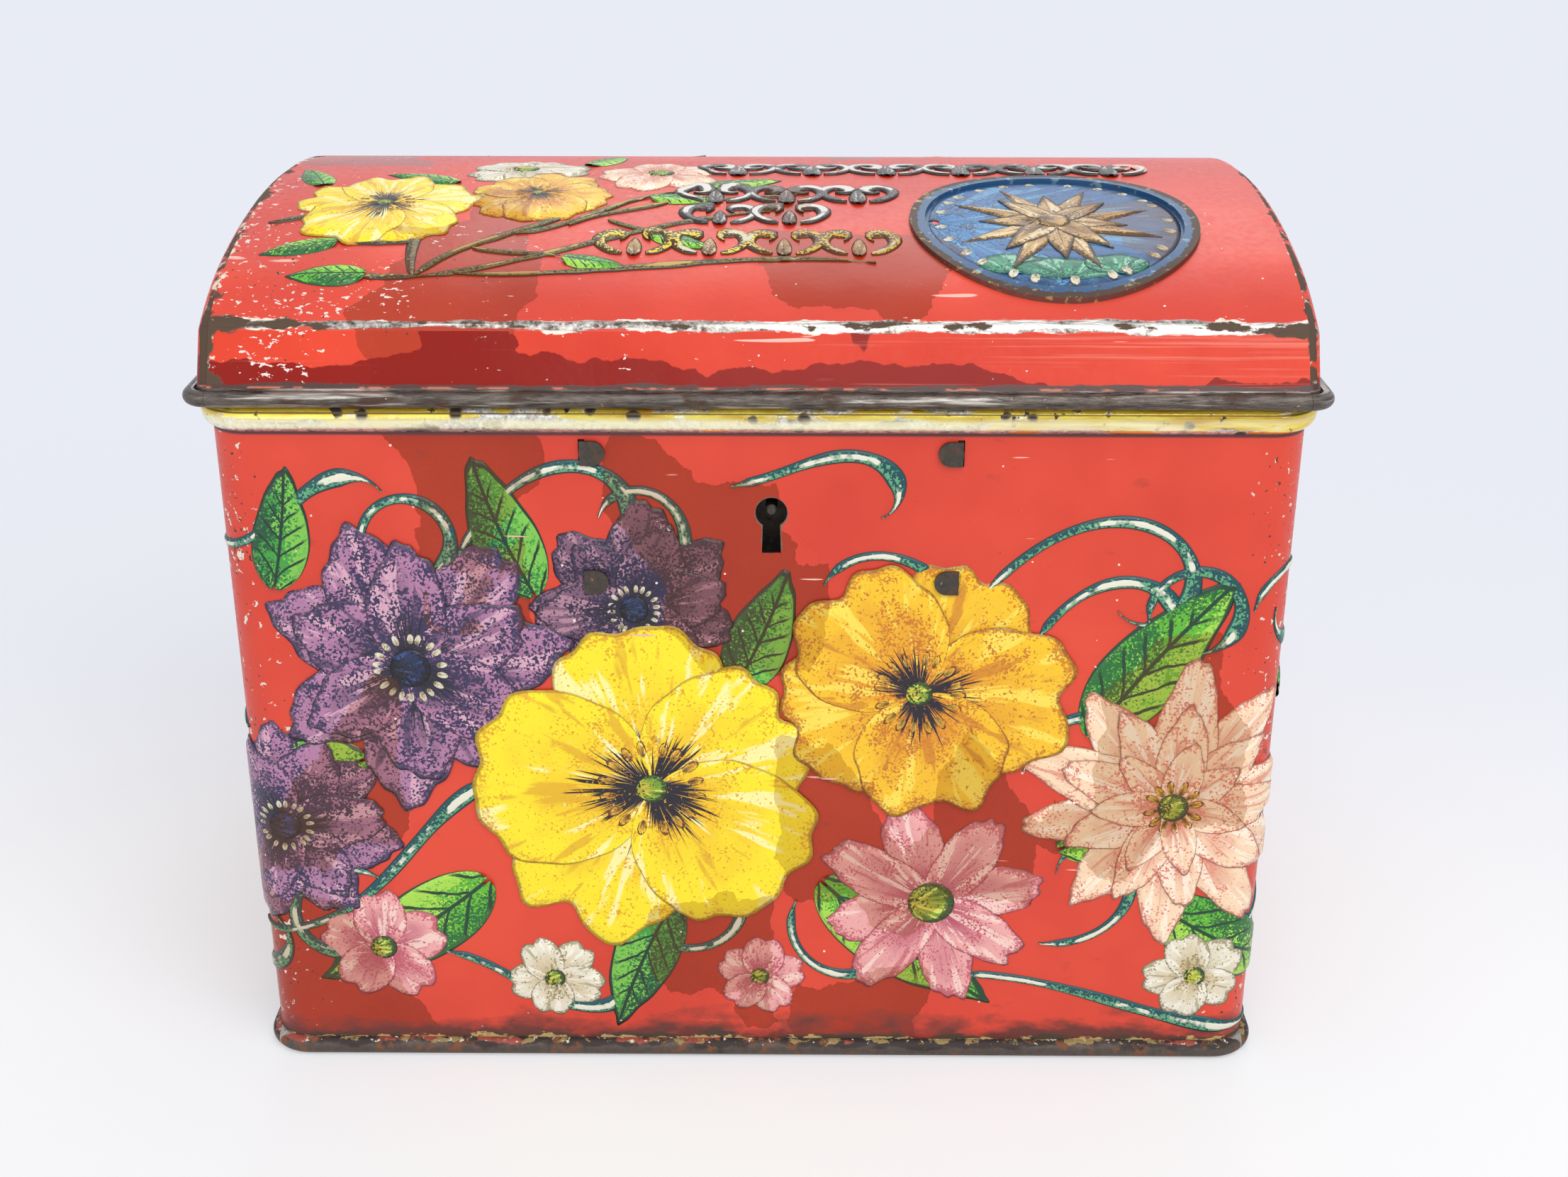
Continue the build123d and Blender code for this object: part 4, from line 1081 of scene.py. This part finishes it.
def lay_blossoms(chart, rows, middle=0.0):
    """Each row is a kind of blossom, its place, radius and turn, and its ink where it isn't the kind's own."""
    for kind, *row in rows:
        lay(kind, chart, [row], middle)


FRONT_TENDRILS = (
    (-86, 92, -14, 34, 1.6, -3.4), (-60, 92, 96, 34, -2.4, -2.2), (-46, 90, 60, 46, -0.2, -3.6),
    (-24, 97, 70, 40, -2.8, 1.2), (-4, 102, 10, 34, 0.6, -4.6), (10, 86, 60, 44, -1.9, 2.4),
    (43, 77, 60, 32, -0.6, -3.3), (34, 84, 51, 58, -0.3, -3.1), (60, 80, 96, 34, -2.2, -2.4),
    (76, 82, 78, 40, -2.0, -3.4), (-86, 34, 185, 40, 0.6, -3.2), (-62, 34, 150, 40, 1.6, 3.0),
    (-84, 24, -8, 60, 0.8, -1.2), (-52, 20, -12, 40, -0.8, 3.8), (-20, 26, -60, 46, 1.6, 3.0),
    (6, 30, 250, 44, 1.4, 3.4), (32, 16, 0, 56, -0.3, 0.6), (46, 22, -4, 40, 1.0, 3.4),
    (50, 50, 20, 36, -1.0, -3.8), (72, 22, 8, 46, 1.0, -3.8), (42, 54, 80, 30, -1.2, -4.0),
    (-82, 60, 150, 36, 1.0, 4.0),
)
FRONT_LEAVES = (
    (-62, 56, 198, 33, 15, 0.003), (-44, 34, 222, 34, 15, -0.004), (-4, 68, 62, 22, 11.5, 0.004, "deep_leaf"),
    (-34, 84, 118, 24, 12, -0.005, "deep_leaf"), (52, 60, 58, 34, 15, -0.003), (48, 40, 20, 32, 14, -0.004),
    (10, 34, -46, 36, 15, 0.003), (-14, 30, -118, 26, 12.5, 0.004, "deep_leaf"), (64, 30, -34, 32, 14, 0.003),
    (-74, 85, 76, 20, 10, 0.004, "deep_leaf"), (84, 66, 18, 30, 13, 0.004),
)
FRONT_BLOSSOMS = (
    (small_blossom, -62, 21, 11, 20, "pink_cosmos"), (small_blossom, -34, 15, 8.5, 50),
    (small_blossom, 0, 15.5, 8, 10, "pink_cosmos"), (small_blossom, 72, 16, 9, 40),
    (anemone, -19, 82, 17, 8, "plum_anemone"), (anemone, -76, 44, 19, 65), (cosmos, 28, 30, 19, 12),
    (dahlia, 66, 48, 25, 10), (anemone, -54, 72, 24.5, 30), (rock_rose, -17, 51, 29, 100),
    (rock_rose, 25, 68, 24.5, 62, "orange_rose"),
)
lay(tendril, "wall", FRONT_TENDRILS)
lay(leaf, "wall", FRONT_LEAVES)
lay_blossoms("wall", FRONT_BLOSSOMS)
print(len(embossings["wall"]), "embossed shapes on the front")

# %% [markdown]
# The garland runs round both corners. The sides and the back repeat the same flowers more loosely, and two
# flowers have another ink on the right side than on the left.

# %% Sides and back
SIDE_TENDRILS = (
    (-30, 90, 60, 46, -1.4, -4.2), (8, 94, 120, 40, 1.4, 4.6), (30, 88, 70, 44, -1.2, -4.2),
    (-22, 20, 10, 50, 1.0, -4.0), (16, 18, 160, 48, -1.2, 4.0), (24, 22, 10, 44, -1.0, 3.8),
)
SIDE_LEAVES = (
    (-22, 44, 215, 32, 14), (14, 34, -40, 32, 14), (26, 66, 55, 30, 13), (-14, 80, 120, 26, 12),
    (0, 36, -100, 26, 12),
)
BACK_TENDRILS = (
    (-60, 86, 60, 50, -1.0, -4.0), (-14, 90, 120, 44, 1.0, 4.4), (16, 90, 60, 44, -1.0, -4.4),
    (62, 86, 120, 50, 1.0, 4.0), (-60, 22, -10, 52, 1.2, 4.0), (60, 22, 190, 52, -1.2, -4.0),
    (-10, 24, 160, 40, -1.0, -4.0), (12, 24, 20, 40, 1.0, 4.0),
)
BACK_LEAVES = (
    (-54, 46, 205, 33, 15), (-22, 34, -60, 32, 14), (30, 38, -120, 30, 14), (54, 46, -30, 33, 15),
    (40, 76, 60, 28, 13), (-38, 78, 120, 28, 13),
)
BACK_BLOSSOMS = (
    (cosmos, -4, 80, 16, 10), (anemone, 46, 62, 22, 20), (dahlia, -52, 76, 20, 104), (rock_rose, -32, 48, 26, 30),
    (rock_rose, 14, 52, 24, 75, "orange_rose"),
)
for hand, anemone_ink, rose_ink in ((-1, "violet_anemone", "yellow_rose"), (1, "plum_anemone", "orange_rose")):
    middle = hand * (SIDE_START + STRAIGHT_Y)
    side_blossoms = (
        (small_blossom, -26, 19, 9.5, 30, "pink_cosmos"), (dahlia, 24, 76, 18, 20),
        (anemone, -14, 74, 21, 20, anemone_ink), (cosmos, 24, 36, 18, 0), (rock_rose, -9, 45, 25, 40, rose_ink),
    )
    lay(tendril, "wall", SIDE_TENDRILS, middle)
    lay(leaf, "wall", SIDE_LEAVES, middle)
    lay_blossoms("wall", side_blossoms, middle)
lay(tendril, "wall", BACK_TENDRILS, BACK_MIDDLE)
lay(leaf, "wall", BACK_LEAVES, BACK_MIDDLE)
lay_blossoms("wall", BACK_BLOSSOMS, BACK_MIDDLE)
print(len(embossings["wall"]), "embossed shapes on the body")

# %% [markdown]
# The dome has a flowering branch on the left, a band of scrollwork in the middle, and a round picture in the
# pressed frame at the right: a gilt compass star on a blue ground over green, a motif that any tin may carry.
# Behind the crest two single roses each have a pair of twigs.

# %% Branch on the dome
TWIGS = (
    (-52, -44, 106, 24, -0.6, 0.9, 1.8), (-52, -44, 60, 34, -0.6, 1.0, 1.8), (-52, -44, 9, 58, 0.3, -0.5, 1.5),
    (-38, -31, 16, 30, 0.9, -1.4, 1.5), (-54, -34, 190, 10, -0.8, 0.8, 1.2), (-52, -44, 176, 8, 0.4, 0.2, 1.2),
    (-30, -28, 50, 20, -1.0, 1.4, 1.3), (-44, -36, -20, 14, 1.0, -1.6, 1.2), (-24, -26, -38, 10, 0.8, -1.2, 1.1),
    (-46, -43.2, -2, 64, 0.15, -0.35, 1.3), (-8, -17, 20, 14, -0.8, 1.2, 1.3), (-70, -24, 200, 8, 0.8, -0.8, 1.2),
)
BRANCH_LEAVES = (
    (-65, -34, 196, 12, 5.5), (-59, -43.5, 178, 12, 6), (-30, -39, -16, 10, 4.5), (-17, -31, -30, 11, 5),
    (-50, -8, 150, 14, 6), (-10, -10, 14, 14, 6), (-30, 6, 60, 13, 6), (-72, -10, 110, 13, 6),
    (-18, -16, -8, 12, 5.5),
)
BRANCH_BLOSSOMS = (
    (small_blossom, -17, -2, 11, 30, "peach_dahlia"), (small_blossom, -40, 1, 11, 70),
    (rock_rose, -36, -15, 13, 66, "orange_rose"), (rock_rose, -60, -20, 15.5, 20),
)
REAR_ROSE = (32, 44.5)
lay(tendril, "lid", TWIGS, ink="twig")
lay(leaf, "lid", BRANCH_LEAVES, bend=0.006)
lay_blossoms("lid", BRANCH_BLOSSOMS)
for hand, rose_ink in ((-1, "yellow_rose"), (1, "orange_rose")):
    centre = (hand * REAR_ROSE[0], REAR_ROSE[1])
    for heading in (90 - 74 * hand, 90 + 106 * hand):
        last = 2.4 * hand if heading < 90 else -2.4 * hand
        tendril("lid", centre, heading, 24, -0.4 * hand, last, 1.3, ink="twig")
    rock_rose("lid", centre, 6.5, 40 * hand, rose_ink)
print(len(embossings["lid"]), "embossed shapes on the lid")

# %% [markdown]
# In the middle of the dome run four short garlands of scrolls, three dark and one gold, as a border printer
# would fill a plain stretch. Each is one tendril mirrored and repeated. The round picture is laid as a disc
# that follows the dome, a hilly green strip over its foot, and a compass star of two rings of eight long petals.

# %% Scrollwork and medallion
def garland(ink, middle, row, repeats, pitch, size):
    """A row of paired scrolls with a bud between them."""
    for k in range(repeats):
        centre = middle + (k - (repeats - 1) / 2) * pitch
        for hand in (-1, 1):
            start = (centre + 0.16 * pitch * hand, row - 0.3 * size)
            line, widths = scroll(start, 90 - 68 * hand, size * 2.1, 2.2 * hand, 13.0 * hand, 2.3, taper=0.5)
            lay_strip(ink, "lid", line, widths, 0.36, pick.uniform())
        bud = Outline(
            "lid", (centre, row - 0.45 * size), 90, size * 0.95, size * 0.42, point=0.5, height=0.4,
            seed=pick.uniform(),
        )
        lay_outline("star_gilt" if ink == "gold_scroll" else "scroll_bud", bud)


garland("dark_scroll", 27, 1.4, 6, 12.5, 9.0)
garland("dark_scroll", 4, -15.5, 3, 11.5, 8.0)
garland("dark_scroll", -1, -25.0, 2, 11.0, 6.5)
garland("gold_scroll", -2, -35.5, 4, 11.5, 6.5)

DISC = MEDAL_IN - 0.5
disc = Outline("lid", (MEDAL_X - DISC, MEDAL_Y), 0, 2 * DISC, 2 * DISC, height=0.1)
lay_outline("medal_blue", disc)
for k, (dx, width) in enumerate(((-7.5, 11), (0.5, 16), (8, 10))):
    lay_outline(
        "medal_green",
        Outline(
            "lid", (MEDAL_X + dx, MEDAL_Y - 17.6 + 1.2 * abs(k - 1)), 90, 5.5, width, ruffle=0.04, height=0.25,
            seed=pick.uniform(),
        ),
    )
for reach, number, offset, broad in ((16.5, 8, 22.5, 4.4), (12.0, 8, 0, 5.0)):
    ring("star_gilt", "lid", (MEDAL_X, MEDAL_Y), number, offset, reach, broad, point=0.85, height=0.35)
ring("white_blossom", "lid", (MEDAL_X, MEDAL_Y), 24, 4, 2.1, 1.5, start=17.0, height=0.2)
eye("lid", (MEDAL_X, MEDAL_Y), 2.6, "star_gilt")
print("round picture", round(2 * DISC, 1), "mm across,", len(embossings["lid"]), "embossed shapes on the lid")

# %% [markdown]
# Now every outline is known, so each point can be lifted. The tallest embossing under a point counts, and a
# point that a later shape hides sinks a little, so that two skins never flicker through each other. The
# grids of one ink become one mesh, with the numbers that its shader reads stored on the points. The heights
# below are in millimetres: the lift of the lowest ink, how far a hidden point sinks, how far an edge is tucked
# in, and the most that a tucked edge may stand.

# %% Building the printed skins
LOWEST, SUNK, TUCKED, TUCK_LIMIT = 0.02, 0.13, 0.12, 0.25


def lifted(chart, p, q, order):
    """How far the sheet is embossed at each place, in mm, and whether a later shape hides it, from 0 to 1."""
    total, hidden = np.zeros(p.shape), np.zeros(p.shape)
    for k, shape in enumerate(embossings[chart]):
        near = np.hypot(p - shape.root[0], q - shape.root[1]) < shape.length * 1.4
        if near.any():
            rise = shape.raised(p[near], q[near])
            total[near] = np.maximum(total[near], rise)
            if k >= order and shape.length > 4:
                hidden[near] = np.maximum(hidden[near], np.clip(rise / shape.height * 3, 0, 1))
    if chart == "wall":
        for px, pz, reach in FLAT_SPOTS:
            gap = np.clip((np.hypot(p - px, q - pz) - 0.4 * reach) / (0.6 * reach), 0, 1)
            total *= gap * gap * (3 - 2 * gap)
    return total, hidden


def build_skins():
    made, highest = [], 0.0
    for (ink, chart), grids in skins.items():
        points, faces, numbers, local, start = [], [], [], [], 0
        for p, q, info, tuck, extra, number, order in grids:
            embossed, hidden = lifted(chart, p, q, order)
            extra = extra * (1 - hidden) - SUNK * hidden
            lift = embossed + extra + LOWEST + LAYER_LIFT * number
            lift = np.where(tuck > 0, np.minimum(lift - TUCKED - extra, TUCK_LIMIT), lift)
            highest = max(highest, float(lift.max()))
            place = on_wall(p, q, lift) if chart == "wall" else on_lid(p, q, lift)
            rows, columns = p.shape
            grid = start + np.arange(rows * columns).reshape(rows, columns)
            quads = np.stack([grid[:-1, :-1], grid[:-1, 1:], grid[1:, 1:], grid[1:, :-1]], -1).reshape(-1, 4)
            points.append(place.reshape(-1, 3))
            faces.append(quads)
            numbers.append(info[..., :3].reshape(-1, 3))
            local.append(np.concatenate([info[..., 3:], 0 * info[..., :1]], -1).reshape(-1, 3))
            start += rows * columns
        mesh = bpy.data.meshes.new(f"{ink}_{chart}")
        faces = np.concatenate(faces)
        mesh.from_pydata(np.concatenate(points).tolist(), [], faces.tolist())
        for name, values in (("petal", numbers), ("local", local)):
            field = mesh.attributes.new(name, "FLOAT_VECTOR", "POINT")
            field.data.foreach_set("vector", np.concatenate(values).astype(np.float32).ravel())
        for face in mesh.polygons:
            face.use_smooth = True
        mesh.materials.append(INKS[ink])
        skin = bpy.data.objects.new(f"{ink}_{'body' if chart == 'wall' else 'lid'}", mesh)
        bpy.context.scene.collection.objects.link(skin)
        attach(skin, "box" if chart == "wall" else "lid")
        made.append((skin.name, len(faces)))
    print("highest skin", round(highest, 2), "mm, layers", {c: max(n[4] for n in covered[c]) for c in covered})
    return made


made = build_skins()
for name, number in made:
    print(name, number, "faces")
print("in all", sum(n for _, n in made))
